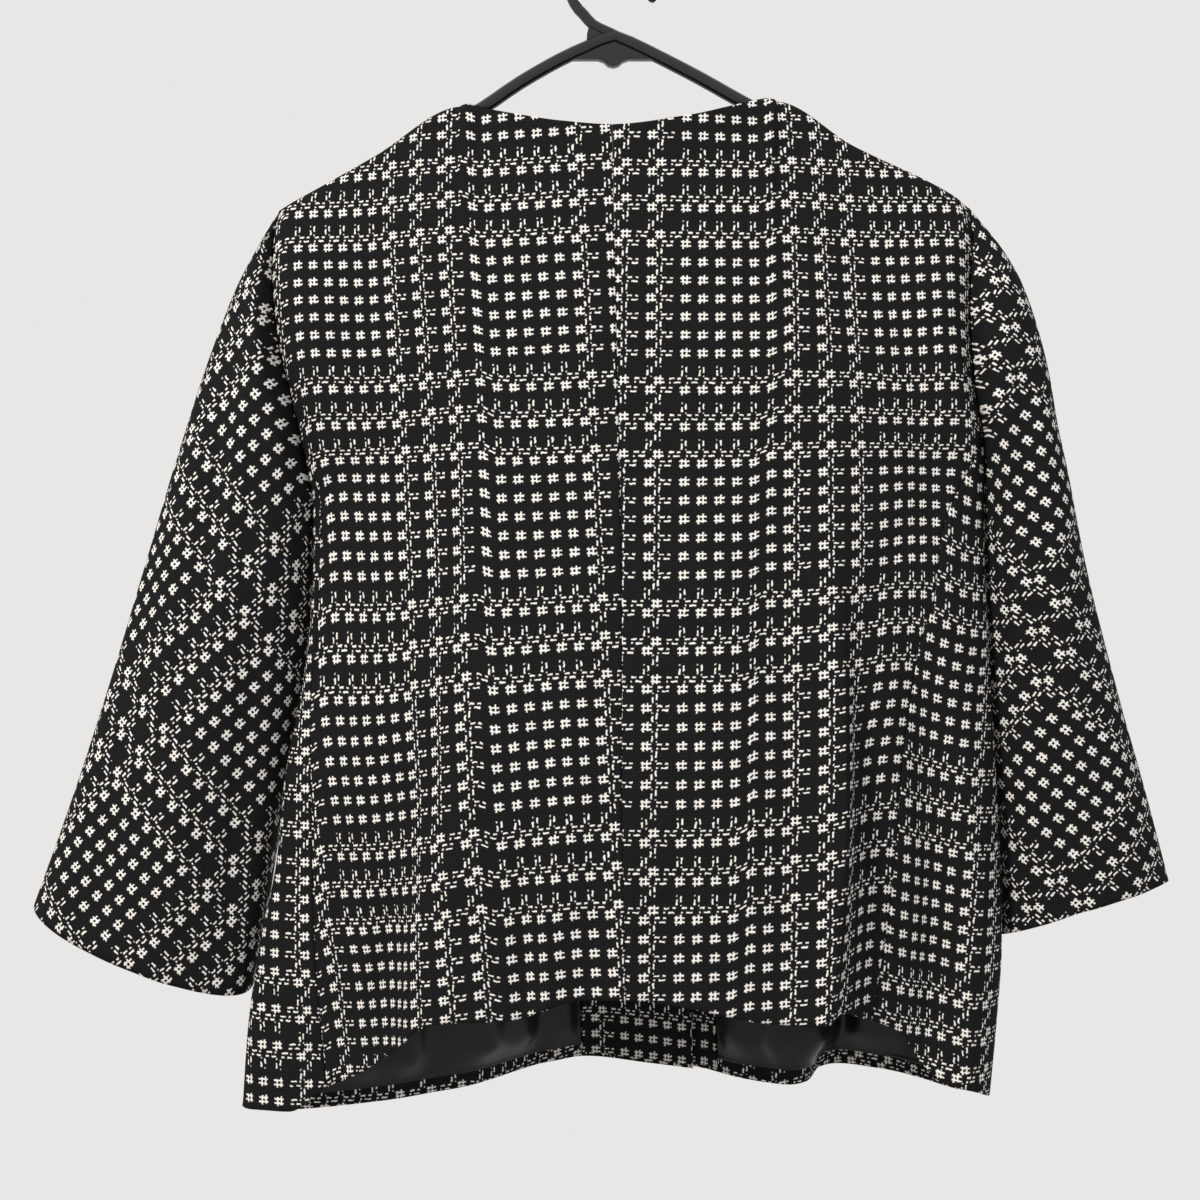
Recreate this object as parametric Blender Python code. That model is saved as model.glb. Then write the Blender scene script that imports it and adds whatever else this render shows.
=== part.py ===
"""Cropped collarless tweed jacket with wide three-quarter sleeves, hung on a tubular hanger.

The wearer's front faces +Y and the wearer's right is +X.  The origin is the inner top of the
hanger's hook.  Lengths in the tables are millimetres; meshes are built in metres.
"""
import bpy
import bmesh
import math
import numpy as np

# ---------------------------------------------------------------- driving dimensions (mm)
MM = 0.001
TWEED = 2.0              # thickness of the tweed
FACING = 1.5             # thickness of the front facings
SATIN = 1.0              # thickness of the satin lining
SEAM = 0.3               # gap left between pieces that meet at a seam
OVERLAP_STEP = 5.6       # how far the right front stands off to pass over the left front
OVERLAP_HALF = 30.0      # half of the front overlap
BODY_ROLL = 10.0         # depth of the side rolls once they have died away into the body
SHOULDER_ROLL = 7.0      # radius of the cloth's roll over the hanger
ARMHOLE_HALF = 11.0      # half the width of the flattened armhole
FRONT_NECK_DROP = 85.0   # how far the front neckline drops below the back's
NECK_BACK = 20.0         # how far the back neckline bows out behind the hanger
NECK_FRONT = 28.0        # how far the front neckline bows out before the hanger
UNDERARM = 0.32          # way down the side edges where the armholes end
ROD = 4.25               # radius of the hanger's arms and lower bar
HOOK_ROD = 3.5           # radius of the hook's rod
HOOK_BEND = 27.35        # radius of the hook's centre line
WEB = 4.0                # thickness of the web at the hanger's neck

# Side outlines from the shoulder point down the armhole and the side seam to the hem.
# columns: height, x
LEFT_SIDE = ((-737.5, -234.7), (-683.4, -230.8), (-632.5, -223.2), (-581.7, -213.0), (-530.8, -207.9),
             (-479.9, -198.4), (-441.7, -192.7), (-390.9, -189.5), (-352.7, -190.1), (-320.9, -195.2),
             (-289.1, -201.6), (-260.5, -208.6), (-235.0, -212.4), (-206.4, -214.3), (-187.3, -214.2),
             (-168.3, -210.5))
RIGHT_SIDE = ((-730.5, 239.8), (-683.4, 244.3), (-632.5, 247.4), (-568.9, 245.5), (-479.9, 241.1),
              (-441.7, 239.2), (-390.9, 236.6), (-346.3, 236.6), (-314.5, 234.1), (-277.0, 227.4),
              (-238.2, 225.0), (-209.6, 226.0), (-187.3, 228.0), (-167.0, 226.4))

# Upper edge of the back.  columns: x, height
BACK_TOP = ((-210.5, -168.3), (-150.7, -134.6), (-94.7, -102.8), (-77.0, -108.5), (-57.7, -112.9),
            (-32.6, -117.3), (0.0, -120.1), (48.7, -113.6), (80.7, -105.3), (103.7, -99.6),
            (151.4, -126.9), (215.0, -158.7), (226.4, -167.0))
NECK_LEFT = (-94.7, -102.8)
NECK_RIGHT = (103.7, -99.6)

# Lower edge of the back as it hangs.  columns: x, height, how far it stands out behind the side seams
BACK_HEM = ((-234.7, -737.5, 0.0), (-219.9, -736.6, 5.0), (-201.5, -736.0, 9.0), (-179.4, -721.0, 10.0),
            (-153.7, -708.4, 15.0), (-133.7, -693.1, 25.0), (-119.7, -677.8, 38.0), (-108.0, -672.3, 42.0),
            (-57.0, -668.5, 45.0), (-38.2, -660.6, 49.0), (-18.0, -656.5, 46.0), (5.6, -655.8, 50.0),
            (46.4, -661.1, 48.0), (95.5, -669.8, 49.0), (116.0, -670.4, 54.0), (128.0, -668.6, 57.0),
            (139.0, -666.5, 37.0), (153.0, -673.4, 25.0), (178.3, -684.6, 14.0), (193.4, -705.9, 10.0),
            (205.9, -716.5, 18.0), (216.7, -718.9, 20.0), (226.0, -722.5, 14.0), (239.8, -730.5, 0.0))

# Lower edge of the fronts.  columns: x, height, how far it stands out before the side seams
FRONT_HEM = ((-234.7, -737.5, 0.0), (-199.6, -743.5, 4.0), (-149.8, -742.0, 14.0), (-94.5, -740.7, 44.0),
             (-43.3, -740.5, 92.0), (-18.0, -740.2, 106.0), (27.5, -741.1, 92.0), (61.4, -740.8, 76.0),
             (90.3, -740.5, 54.0), (117.0, -740.0, 43.0), (130.0, -740.4, 50.0), (143.0, -739.6, 78.0),
             (160.1, -740.6, 88.0), (187.0, -740.9, 80.0), (211.0, -740.2, 58.0), (226.0, -738.0, 30.0),
             (239.8, -730.5, 0.0))

# Fullness between the side rolls.  columns: way down from the top (0) to the hem (1), back, front
FULLNESS = ((0.0, 5.0, 4.0), (0.10, 15.0, 12.0), (0.25, 21.0, 18.0), (0.40, 27.0, 26.0),
            (0.60, 34.0, 38.0), (0.80, 40.0, 52.0), (1.0, 44.0, 62.0))

# The cloth's roll at its side edges.  columns: way down, roll depth, roll width, roundness
SIDE_ROLL = ((0.0, 4.0, 9.0, 1.0), (0.07, 9.0, 15.0, 1.0), (0.16, 15.0, 24.0, 1.0), (0.27, 13.0, 20.0, 1.15),
             (0.34, 8.0, 11.0, 1.8), (0.42, 7.0, 9.0, 2.0), (1.0, 7.0, 9.0, 2.0))

# Seams on the back.  columns: height, x
CENTRE_BACK = ((-655.8, 8.0), (-524.6, 5.6), (-440.4, 5.7), (-257.8, 2.8), (-120.4, -0.1))
LEFT_SIDE_BACK = ((-720.0, -178.0), (-691.2, -180.7), (-629.2, -185.4), (-535.6, -187.9), (-479.5, -189.0),
                  (-441.6, -185.8), (-391.0, -183.9), (-355.0, -183.3), (-328.0, -194.2))
RIGHT_SIDE_BACK = ((-675.2, 160.0), (-652.4, 164.4), (-573.1, 174.4), (-513.3, 179.0), (-474.0, 185.1),
                   (-444.6, 190.4), (-414.5, 200.1), (-376.8, 204.9), (-315.6, 233.5))
FRONT_CENTRE = ((-740.0, 27.0), (-188.0, 6.0))

# Sleeves, from the armhole (0) to the cuff (1).
# columns: way along, outer x, outer height, inner x, inner height, half depth, middle's y, tilt of the back
LEFT_SLEEVE = ((0.00, -211.0, -168.3, -190.6, -353.5, 6.0, 0.0, 0.0),
               (0.04, -217.0, -178.5, -191.8, -360.0, 17.0, 0.0, 0.0),
               (0.09, -223.6, -190.6, -192.8, -369.0, 25.0, 0.0, 0.0),
               (0.17, -236.6, -214.1, -193.0, -383.0, 31.0, 1.0, 1.0),
               (0.31, -257.5, -266.8, -194.0, -416.3, 35.0, 3.0, 2.0),
               (0.46, -278.5, -330.4, -197.6, -457.6, 37.0, 5.0, 4.0),
               (0.60, -298.3, -394.0, -205.2, -499.0, 37.0, 7.0, 5.0),
               (0.74, -320.5, -467.2, -212.2, -543.5, 36.0, 8.0, 7.0),
               (0.88, -344.7, -540.3, -220.4, -600.7, 34.0, 9.0, 9.0),
               (1.00, -370.1, -610.3, -231.8, -664.3, 31.0, 10.0, 11.0))
RIGHT_SLEEVE = ((0.00, 226.9, -167.0, 237.1, -348.0, 6.0, 0.0, 0.0),
                (0.04, 235.4, -177.5, 238.4, -351.5, 17.0, 0.0, 0.0),
                (0.09, 246.8, -192.4, 239.4, -357.5, 25.0, 0.0, 0.0),
                (0.17, 259.5, -214.7, 240.2, -371.8, 31.0, 1.0, 0.0),
                (0.31, 273.5, -257.3, 241.0, -409.9, 35.0, 3.0, -1.0),
                (0.46, 286.2, -317.7, 242.9, -454.5, 37.0, 5.0, -1.0),
                (0.60, 300.9, -390.9, 245.0, -499.0, 37.0, 7.0, -2.0),
                (0.74, 321.8, -473.5, 247.4, -543.5, 36.0, 8.0, -3.0),
                (0.88, 340.3, -537.1, 249.6, -588.0, 34.0, 9.0, -4.0),
                (1.00, 356.2, -595.7, 250.6, -632.5, 31.0, 10.0, -5.0))
SLEEVE_LEAN = 9.0        # how much further forward a sleeve's inner edge hangs than its outer edge
SLEEVE_BLUNT = 0.8       # how blunt a sleeve's inner edge is; 1 is an oval

# Hanger centre lines in its own upright plane.  columns: x, height
ARM_LOOP = ((2.0, -58.6), (11.5, -62.5), (27.4, -70.2), (56.0, -85.0), (82.7, -100.0), (151.4, -136.0),
            (196.0, -158.6), (202.5, -163.2), (206.0, -169.5), (204.0, -176.5), (197.0, -179.6), (120.0, -180.6),
            (0.0, -182.2), (-120.0, -183.8), (-190.0, -184.8), (-197.5, -182.6), (-200.8, -177.0),
            (-199.5, -171.8), (-194.0, -167.6), (-120.0, -125.9), (-82.6, -104.2), (-58.5, -87.8), (-33.0, -73.2),
            (-17.1, -65.8))
WEB_OUTLINE = ((-27.0, -73.5), (-9.0, -73.5), (-5.5, -74.8), (-2.8, -77.2), (0.7, -78.2), (4.2, -77.2),
               (6.9, -74.8), (10.4, -73.5), (29.0, -73.5), (25.0, -69.0), (0.0, -56.6), (-12.0, -51.0),
               (-14.8, -53.0), (-15.8, -57.0), (-16.3, -64.0), (-22.0, -68.5))

# Rows down the panels, as shares of the way
ARMHOLE_ROWS = (0.0, 0.004, 0.011, 0.022, 0.045, 0.085, 0.135, 0.19, 0.245, 0.29, 0.312, UNDERARM)
RIGHT_ARMHOLE_ROWS = ARMHOLE_ROWS[:9] + (0.264, 0.27) + ARMHOLE_ROWS[9:]
LOWER_ROWS = (0.37, 0.44, 0.53, 0.62, 0.71, 0.80, 0.89, 0.9786, 1.0)


# ---------------------------------------------------------------- smooth curves through short tables
def curve(table, where, column=1):
    """Smooth curve through one column of a table, read against its first column."""
    rows = np.asarray(table, dtype=float)
    x = rows[:, 0]
    y = rows[:, column]
    step = np.diff(x)
    slope = np.diff(y) / step
    tangent = np.zeros(len(x))
    tangent[0] = slope[0]
    tangent[-1] = slope[-1]
    for i in range(1, len(x) - 1):
        if slope[i - 1] * slope[i] > 0.0:
            w1 = 2.0 * step[i] + step[i - 1]
            w2 = step[i] + 2.0 * step[i - 1]
            tangent[i] = (w1 + w2) / (w1 / slope[i - 1] + w2 / slope[i])
    at = np.clip(np.asarray(where, dtype=float), x[0], x[-1])
    k = np.clip(np.searchsorted(x, at, side="right") - 1, 0, len(x) - 2)
    t = (at - x[k]) / step[k]
    h00 = (1.0 + 2.0 * t) * (1.0 - t) ** 2
    h10 = t * (1.0 - t) ** 2
    h01 = t * t * (3.0 - 2.0 * t)
    h11 = t * t * (t - 1.0)
    return h00 * y[k] + h10 * step[k] * tangent[k] + h01 * y[k + 1] + h11 * step[k] * tangent[k + 1]


def smooth(value):
    """Ease from 0 to 1."""
    v = np.clip(value, 0.0, 1.0)
    return v * v * (3.0 - 2.0 * v)


# ---------------------------------------------------------------- the body's form
def side_edges(v):
    """x and height of the left and right edges at a share v of the way down."""
    left_z = LEFT_SIDE[-1][0] + v * (LEFT_SIDE[0][0] - LEFT_SIDE[-1][0])
    right_z = RIGHT_SIDE[-1][0] + v * (RIGHT_SIDE[0][0] - RIGHT_SIDE[-1][0])
    return curve(LEFT_SIDE, left_z), left_z, curve(RIGHT_SIDE, right_z), right_z


def neck_share(x):
    """-1 at the left neck point, 0 in the middle, 1 at the right neck point."""
    middle = 0.5 * (NECK_LEFT[0] + NECK_RIGHT[0])
    return (x - middle) / (0.5 * (NECK_RIGHT[0] - NECK_LEFT[0]))


def top_edge(x, front):
    """Height and depth of the upper edge, and how much of the neck opening is there."""
    share = np.clip(np.abs(neck_share(x)), 0.0, 1.0)
    height = curve(BACK_TOP, x)
    if front:
        chord = NECK_LEFT[1] + 0.5 * (neck_share(x) + 1.0) * (NECK_RIGHT[1] - NECK_LEFT[1])
        dropped = chord - FRONT_NECK_DROP * (1.0 - share ** 2.2)
        height = np.where(share < 1.0, dropped, height)
    bow = (NECK_FRONT if front else NECK_BACK) * np.clip(1.0 - share ** 2, 0.0, 1.0) ** 0.4
    open_neck = smooth((1.0 - share) * 99.0 / 15.0)
    return height, bow, open_neck


def armhole_depth(v):
    """How far the armhole's edge stands off the hanger's plane."""
    share = np.clip(v / UNDERARM, 0.0, 1.0)
    return ARMHOLE_HALF * np.sin(math.pi * share) ** 0.8


def body(s, v, front, lapped=False):
    """Outer face of the body: s runs from the left edge to the right, v from the top to the hem."""
    left_x, left_z, right_x, right_z = side_edges(v)
    x_top = LEFT_SIDE[-1][1] + s * (RIGHT_SIDE[-1][1] - LEFT_SIDE[-1][1])
    x_hem = LEFT_SIDE[0][1] + s * (RIGHT_SIDE[0][1] - LEFT_SIDE[0][1])
    x = left_x + s * (right_x - left_x)
    z_top, bow, open_neck = top_edge(x_top, front)
    hem = FRONT_HEM if front else BACK_HEM
    z_hem = curve(hem, x_hem)
    z = z_top + v * (z_hem - z_top)
    drop = z_top - z
    edge = np.minimum(x - left_x, right_x - x)
    depth = curve(SIDE_ROLL, v, 1)
    width = curve(SIDE_ROLL, v, 2)
    round_off = curve(SIDE_ROLL, v, 3)
    share = np.clip(edge / width, 0.0, 1.0)
    side = np.maximum(1.0 - (1.0 - share) ** 2, 0.0) ** (1.0 / round_off)
    across = np.abs(2.0 * s - 1.0)
    fullness = curve(FULLNESS, v, 2 if front else 1) * np.maximum(1.0 - across ** 3, 0.0) ** 0.7
    hung = smooth((v - 0.36) / 0.66)
    fullness = fullness + hung * (curve(hem, x_hem, 2) - fullness)
    arm = armhole_depth(v) * (1.0 - smooth(edge / 70.0))
    full = (BODY_ROLL + (depth - BODY_ROLL) * (1.0 - smooth(edge / 90.0))) * side + fullness
    over = np.clip(drop / (SHOULDER_ROLL * 1.15), 0.0, 1.0)
    shoulder = SHOULDER_ROLL * np.sqrt(np.maximum(1.0 - (1.0 - over) ** 2, 0.0)) * side
    settle = 1.0 - np.exp(-drop / 80.0)
    roll = (1.0 - open_neck) * shoulder
    y = bow + roll + arm + (full - bow - (1.0 - open_neck) * SHOULDER_ROLL * side) * settle + 0.5 * SEAM
    if lapped:
        free = curve(FRONT_CENTRE, z) + OVERLAP_HALF
        y = y + OVERLAP_STEP * (1.0 - smooth((x - free - 4.0) / 40.0))
    if not front:
        y = -y
    return np.stack([x, y, z], axis=-1)


def share_at(x, v):
    """The share s across the body whose x is as given, at a share v down."""
    left_x, _, right_x, _ = side_edges(v)
    return (x - left_x) / (right_x - left_x)


def seam_share(table, v, front):
    """The share s of a seam that is given by height, found by walking onto its height."""
    s = np.full_like(v, 0.5)
    for _ in range(12):
        z = body(s, v, front)[..., 2]
        s = share_at(curve(table, z), v)
    return np.clip(s, 0.0, 1.0)


# ---------------------------------------------------------------- sheets and tubes as closed meshes
def grid_normals(face, s, v, outward):
    """Unit normals of a surface, by small steps along it."""
    ds = np.where(s < 0.5, 2e-4, -2e-4)
    dv = np.where(v < 0.5, 2e-4, -2e-4)
    along = (face(s + ds, v) - face(s, v)) * np.sign(ds)[..., None]
    down = (face(s, v + dv) - face(s, v)) * np.sign(dv)[..., None]
    normal = np.cross(along, down) * outward
    normal = normal / np.maximum(np.linalg.norm(normal, axis=-1, keepdims=True), 1e-12)
    return meet_square(normal, s, v, outward)


def armhole_normal(v, facing):
    """The armhole ring's own outward normal, kept shallow where the ring is narrow."""
    step = 1e-4
    ahead = np.minimum(v + step, UNDERARM)
    behind = np.maximum(v - step, 0.0)
    across = (armhole_depth(ahead) - armhole_depth(behind)) * 1.0
    along = (ahead - behind) * 566.0
    size = np.hypot(across, along)
    out_y = np.minimum(along / size, np.maximum(armhole_depth(v), 0.0) / TWEED)
    out_z = np.sqrt(np.maximum(1.0 - out_y ** 2, 0.0)) * np.where(v < 0.5 * UNDERARM, 1.0, -1.0)
    return np.stack([np.zeros_like(v), facing * out_y, out_z], axis=-1)


def meet_square(normal, s, v, facing):
    """Turn the wall square to the seam along the shoulders, the armholes and the side seams."""
    x_top = LEFT_SIDE[-1][1] + s * (RIGHT_SIDE[-1][1] - LEFT_SIDE[-1][1])
    open_neck = smooth((1.0 - np.clip(np.abs(neck_share(x_top)), 0.0, 1.0)) * 99.0 / 15.0)
    at_side = (s < 1e-6) | (s > 1.0 - 1e-6)
    turned = normal.copy()
    turned[..., 1] *= np.where(v < 1e-6, open_neck, 1.0)
    turned[..., 1] *= np.where(at_side & (v > UNDERARM + 1e-6), 0.0, 1.0)
    turned = turned / np.maximum(np.linalg.norm(turned, axis=-1, keepdims=True), 1e-12)
    ring = at_side & (v < UNDERARM + 1e-6)
    turned[ring] = armhole_normal(v[ring], facing)
    return turned


def material(name, colour, roughness):
    """A plain Principled material for one piece."""
    mat = bpy.data.materials.new(name)
    mat.use_nodes = True
    shader = mat.node_tree.nodes["Principled BSDF"]
    shader.inputs["Base Color"].default_value = (*colour, 1.0)
    shader.inputs["Roughness"].default_value = roughness
    mat.diffuse_color = (*colour, 1.0)
    return mat


def add_object(name, points, faces, mat):
    """Build one closed mesh in metres with outward faces."""
    mesh = bpy.data.meshes.new(name)
    mesh.from_pydata([tuple(float(c) * MM for c in p) for p in points], [], faces)
    work = bmesh.new()
    work.from_mesh(mesh)
    bmesh.ops.recalc_face_normals(work, faces=work.faces)
    if work.calc_volume(signed=True) < 0.0:
        bmesh.ops.reverse_faces(work, faces=work.faces)
    work.to_mesh(mesh)
    work.free()
    mesh.materials.append(mat)
    obj = bpy.data.objects.new(name, mesh)
    bpy.context.scene.collection.objects.link(obj)
    return obj


def sheet(name, face, s_grid, v_grid, skip, thickness, outward, mat):
    """A cloth wall: the surface moved in by skip, and again by its thickness, closed at its rim."""
    outer = face(s_grid, v_grid)
    normal = grid_normals(face, s_grid, v_grid, outward)
    top = outer - normal * skip
    low = outer - normal * (skip + thickness)
    rows, cols = s_grid.shape
    points = list(top.reshape(-1, 3)) + list(low.reshape(-1, 3))
    shift = rows * cols
    faces = []
    for i in range(rows - 1):
        for j in range(cols - 1):
            a = i * cols + j
            b = a + cols
            faces.append((a, a + 1, b + 1))
            faces.append((a, b + 1, b))
            faces.append((shift + a, shift + b + 1, shift + a + 1))
            faces.append((shift + a, shift + b, shift + b + 1))
    rim = [j for j in range(cols)]
    rim += [i * cols + cols - 1 for i in range(1, rows)]
    rim += [(rows - 1) * cols + j for j in range(cols - 2, -1, -1)]
    rim += [i * cols for i in range(rows - 2, 0, -1)]
    for k, a in enumerate(rim):
        b = rim[(k + 1) % len(rim)]
        faces.append((b, a, shift + a, shift + b))
    return add_object(name, points, faces, mat)


def spread(count, tight_start=False, tight_end=False):
    """Shares from 0 to 1, closer together where the cloth rolls over."""
    t = np.linspace(0.0, 1.0, count + 1)
    if tight_start:
        return 1.0 - np.cos(0.5 * math.pi * t)
    if tight_end:
        return np.sin(0.5 * math.pi * t)
    return t


def grid(rows, lines, shares):
    """Shares across at every row, stepping from line to line, with the share down beside them."""
    v = np.asarray(rows, dtype=float)
    columns = [lines[0](v)]
    for low, high, steps in zip(lines, lines[1:], shares):
        start = low(v)
        end = high(v)
        for step in steps[1:]:
            columns.append(start + (end - start) * step)
    s_grid = np.stack(columns, axis=1)
    v_grid = np.repeat(v[:, None], s_grid.shape[1], axis=1)
    return s_grid, v_grid


def panel(name, front, s_grid, v_grid, thickness, mat, skip=0.0, lapped=False):
    """A cloth panel on its grid of shares."""
    def face(s, w):
        return body(s, w, front, lapped)

    outward = 1.0 if front else -1.0
    return sheet(name, face, s_grid, v_grid, skip, thickness, outward, mat)


def plain_sleeve(table, t, phi):
    """The sleeve as a row of leaning ovals: t from the armhole to the cuff, phi round by the back."""
    outer_x = curve(table, t, 1)
    outer_z = curve(table, t, 2)
    inner_x = curve(table, t, 3)
    inner_z = curve(table, t, 4)
    away = np.cos(phi)
    round_off = np.sin(phi)
    power = 1.0 + (SLEEVE_BLUNT - 1.0) * smooth(t / 0.25) * (away < 0.0)
    away = np.sign(away) * np.abs(away) ** power
    round_off = np.sign(round_off) * np.abs(round_off) ** power
    across = 0.5 + 0.5 * away
    x = inner_x + (outer_x - inner_x) * across
    z = inner_z + (outer_z - inner_z) * across - curve(table, t, 7) * round_off
    lean = SLEEVE_LEAN * smooth(t / 0.3) * (1.0 - across)
    y = curve(table, t, 6) + lean - curve(table, t, 5) * round_off
    return np.stack([x, y, z], axis=-1)


def sleeve_point(table, t, phi, left):
    """Outer face of a sleeve: it leaves the armhole's own edge and becomes a row of ovals."""
    across = 0.5 + 0.5 * np.cos(phi)
    sides = LEFT_SIDE if left else RIGHT_SIDE
    top = sides[-1][0]
    v = UNDERARM * (1.0 - across)
    z = top - v * (top - sides[0][0])
    x = curve(sides, z) + (-SEAM if left else SEAM)
    y = -np.sign(np.sin(phi)) * (armhole_depth(v) + 0.5 * SEAM)
    y = np.where(np.abs(np.sin(phi)) < 1e-6, 0.0, y)
    ring = np.stack([x, y, z], axis=-1)
    start = plain_sleeve(table, np.zeros_like(t), phi)
    blend = 1.0 - smooth(t / 0.3)
    return plain_sleeve(table, t, phi) + (ring - start) * blend[..., None]


def sleeve(name, table, left, rows, mat):
    """A sleeve as an open tube with a wall, its first ring stepped like the armhole's edge."""
    along = np.array([0.0, 0.02, 0.05, 0.1, 0.19, 0.32, 0.47, 0.62, 0.77, 0.9, 1.0])
    half = np.arccos(1.0 - 2.0 * np.asarray(rows) / UNDERARM)
    phi = np.concatenate([half, 2.0 * math.pi - half[-2:0:-1]])
    around = len(phi)
    t_grid = np.repeat(along[:, None], around, axis=1)
    p_grid = np.repeat(phi[None, :], len(along), axis=0)
    outer = sleeve_point(table, t_grid, p_grid, left)
    dp = 1e-3
    dt = np.where(t_grid < 0.5, 2e-4, -2e-4)
    round_step = sleeve_point(table, t_grid, p_grid + dp, left) - sleeve_point(table, t_grid, p_grid - dp, left)
    down_step = (sleeve_point(table, t_grid + dt, p_grid, left) - outer) * np.sign(dt)[..., None]
    normal = np.cross(round_step, down_step)
    normal = normal / np.maximum(np.linalg.norm(normal, axis=-1, keepdims=True), 1e-12)
    centre = outer.mean(axis=1, keepdims=True)
    if np.sum(normal * (outer - centre)) < 0.0:
        normal = -normal
    ring_v = UNDERARM * 0.5 * (1.0 - np.cos(phi))
    normal[0] = armhole_normal(ring_v, -np.sign(np.round(np.sin(phi), 6)))
    inner = outer - normal * TWEED
    rows, cols = t_grid.shape
    points = list(outer.reshape(-1, 3)) + list(inner.reshape(-1, 3))
    shift = rows * cols
    faces = []
    for i in range(rows - 1):
        for j in range(cols):
            a = i * cols + j
            b = i * cols + (j + 1) % cols
            faces.append((a, b, b + cols))
            faces.append((a, b + cols, a + cols))
            faces.append((shift + a, shift + b + cols, shift + b))
            faces.append((shift + a, shift + a + cols, shift + b + cols))
    for i in (0, rows - 1):
        for j in range(cols):
            a = i * cols + j
            b = i * cols + (j + 1) % cols
            faces.append((a, b, shift + b, shift + a))
    return add_object(name, points, faces, mat)


# ---------------------------------------------------------------- hanger
def rod(name, path, radius, closed, around=14):
    """A round rod along a centre line in the hanger's plane, with rounded ends when open."""
    count = len(path)
    rings = []
    for i, (x, z) in enumerate(path):
        if closed:
            before = path[i - 1]
            after = path[(i + 1) % count]
        else:
            before = path[max(i - 1, 0)]
            after = path[min(i + 1, count - 1)]
        dx = after[0] - before[0]
        dz = after[1] - before[1]
        size = math.hypot(dx, dz)
        rings.append(((x, z), (dx / size, dz / size), radius))
    if not closed:
        head = []
        for k in range(4):
            turn = 0.5 * math.pi * (1.0 - (k + 0.35) / 4.35)
            (x, z), way, _ = rings[0]
            reach = radius * math.sin(turn)
            head.append(((x - way[0] * reach, z - way[1] * reach), way, radius * math.cos(turn)))
        tail = []
        for k in range(4):
            turn = 0.5 * math.pi * ((k + 1.0) / 4.35)
            (x, z), way, _ = rings[-1]
            reach = radius * math.sin(turn)
            tail.append(((x + way[0] * reach, z + way[1] * reach), way, radius * math.cos(turn)))
        rings = head + rings + tail
    points = []
    faces = []
    for (x, z), way, size in rings:
        for k in range(around):
            turn = 2.0 * math.pi * k / around
            side = math.cos(turn) * size
            points.append((x - way[1] * side, math.sin(turn) * size, z + way[0] * side))
    total = len(rings)
    for i in range(total if closed else total - 1):
        for k in range(around):
            a = i * around + k
            b = i * around + (k + 1) % around
            c = ((i + 1) % total) * around + (k + 1) % around
            d = ((i + 1) % total) * around + k
            faces.append((a, b, c, d))
    if not closed:
        faces.append(tuple(range(around)))
        faces.append(tuple((total - 1) * around + k for k in range(around)))
    return points, faces


def resample(path, closed, step):
    """Smooth a short centre line into evenly spaced points."""
    ring = list(path)
    count = len(ring)
    out = []
    for i in range(count if closed else count - 1):
        p0 = ring[i - 1] if closed or i > 0 else ring[0]
        p1 = ring[i]
        p2 = ring[(i + 1) % count]
        p3 = ring[(i + 2) % count] if closed or i + 2 < count else ring[-1]
        length = math.hypot(p2[0] - p1[0], p2[1] - p1[1])
        parts = max(1, round(length / step))
        for k in range(parts):
            t = k / parts
            knots = [0.0]
            for a, b in ((p0, p1), (p1, p2), (p2, p3)):
                knots.append(knots[-1] + max(math.hypot(b[0] - a[0], b[1] - a[1]), 1e-6) ** 0.5)
            at = knots[1] + t * (knots[2] - knots[1])
            point = []
            for c in (0, 1):
                a1 = (p0[c] * (knots[1] - at) + p1[c] * (at - knots[0])) / (knots[1] - knots[0])
                a2 = (p1[c] * (knots[2] - at) + p2[c] * (at - knots[1])) / (knots[2] - knots[1])
                a3 = (p2[c] * (knots[3] - at) + p3[c] * (at - knots[2])) / (knots[3] - knots[2])
                b1 = (a1 * (knots[2] - at) + a2 * (at - knots[0])) / (knots[2] - knots[0])
                b2 = (a2 * (knots[3] - at) + a3 * (at - knots[1])) / (knots[3] - knots[1])
                point.append((b1 * (knots[2] - at) + b2 * (at - knots[1])) / (knots[2] - knots[1]))
            out.append(tuple(point))
    if not closed:
        out.append(ring[-1])
    return out


def hanger(mat):
    """Hook, arms, web and lower bar joined into one moulding."""
    centre_z = -(HOOK_BEND - HOOK_ROD)
    hook = [(17.0, -65.2), (11.5, -62.4), (-1.0, -56.4), (-12.2, -50.8)]
    for k in range(27):
        turn = math.radians(229.0 - k * 249.0 / 26.0)
        hook.append((HOOK_BEND * math.cos(turn), centre_z + HOOK_BEND * math.sin(turn)))
    arms, arm_faces = rod("arms", resample(ARM_LOOP, True, 9.0), ROD, True)
    frame = add_object("hanger", arms, arm_faces, mat)
    hook_points, hook_faces = rod("hook", resample(hook, False, 5.0), HOOK_ROD, False)
    strand = add_object("hook_strand", hook_points, hook_faces, mat)
    web_points = [(x, -0.5 * WEB, z) for x, z in WEB_OUTLINE] + [(x, 0.5 * WEB, z) for x, z in WEB_OUTLINE]
    count = len(WEB_OUTLINE)
    web_faces = [tuple(range(count)), tuple(count + k for k in range(count))]
    for k in range(count):
        web_faces.append((k, (k + 1) % count, count + (k + 1) % count, count + k))
    plate = add_object("hanger_web", web_points, web_faces, mat)
    for tool in (strand, plate):
        union = frame.modifiers.new("join", "BOOLEAN")
        union.operation = "UNION"
        union.solver = "EXACT"
        union.object = tool
        bpy.context.view_layer.objects.active = frame
        bpy.ops.object.modifier_apply(modifier="join")
        bpy.data.objects.remove(tool, do_unlink=True)
    return frame


# ---------------------------------------------------------------- build
for old in list(bpy.data.objects):
    bpy.data.objects.remove(old, do_unlink=True)

CLOTH = (0.045, 0.045, 0.048)
GAP_SHARE = 0.5 * SEAM / 460.0


def left_limit(v):
    return np.zeros_like(v)


def right_limit(v):
    return np.ones_like(v)


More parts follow.
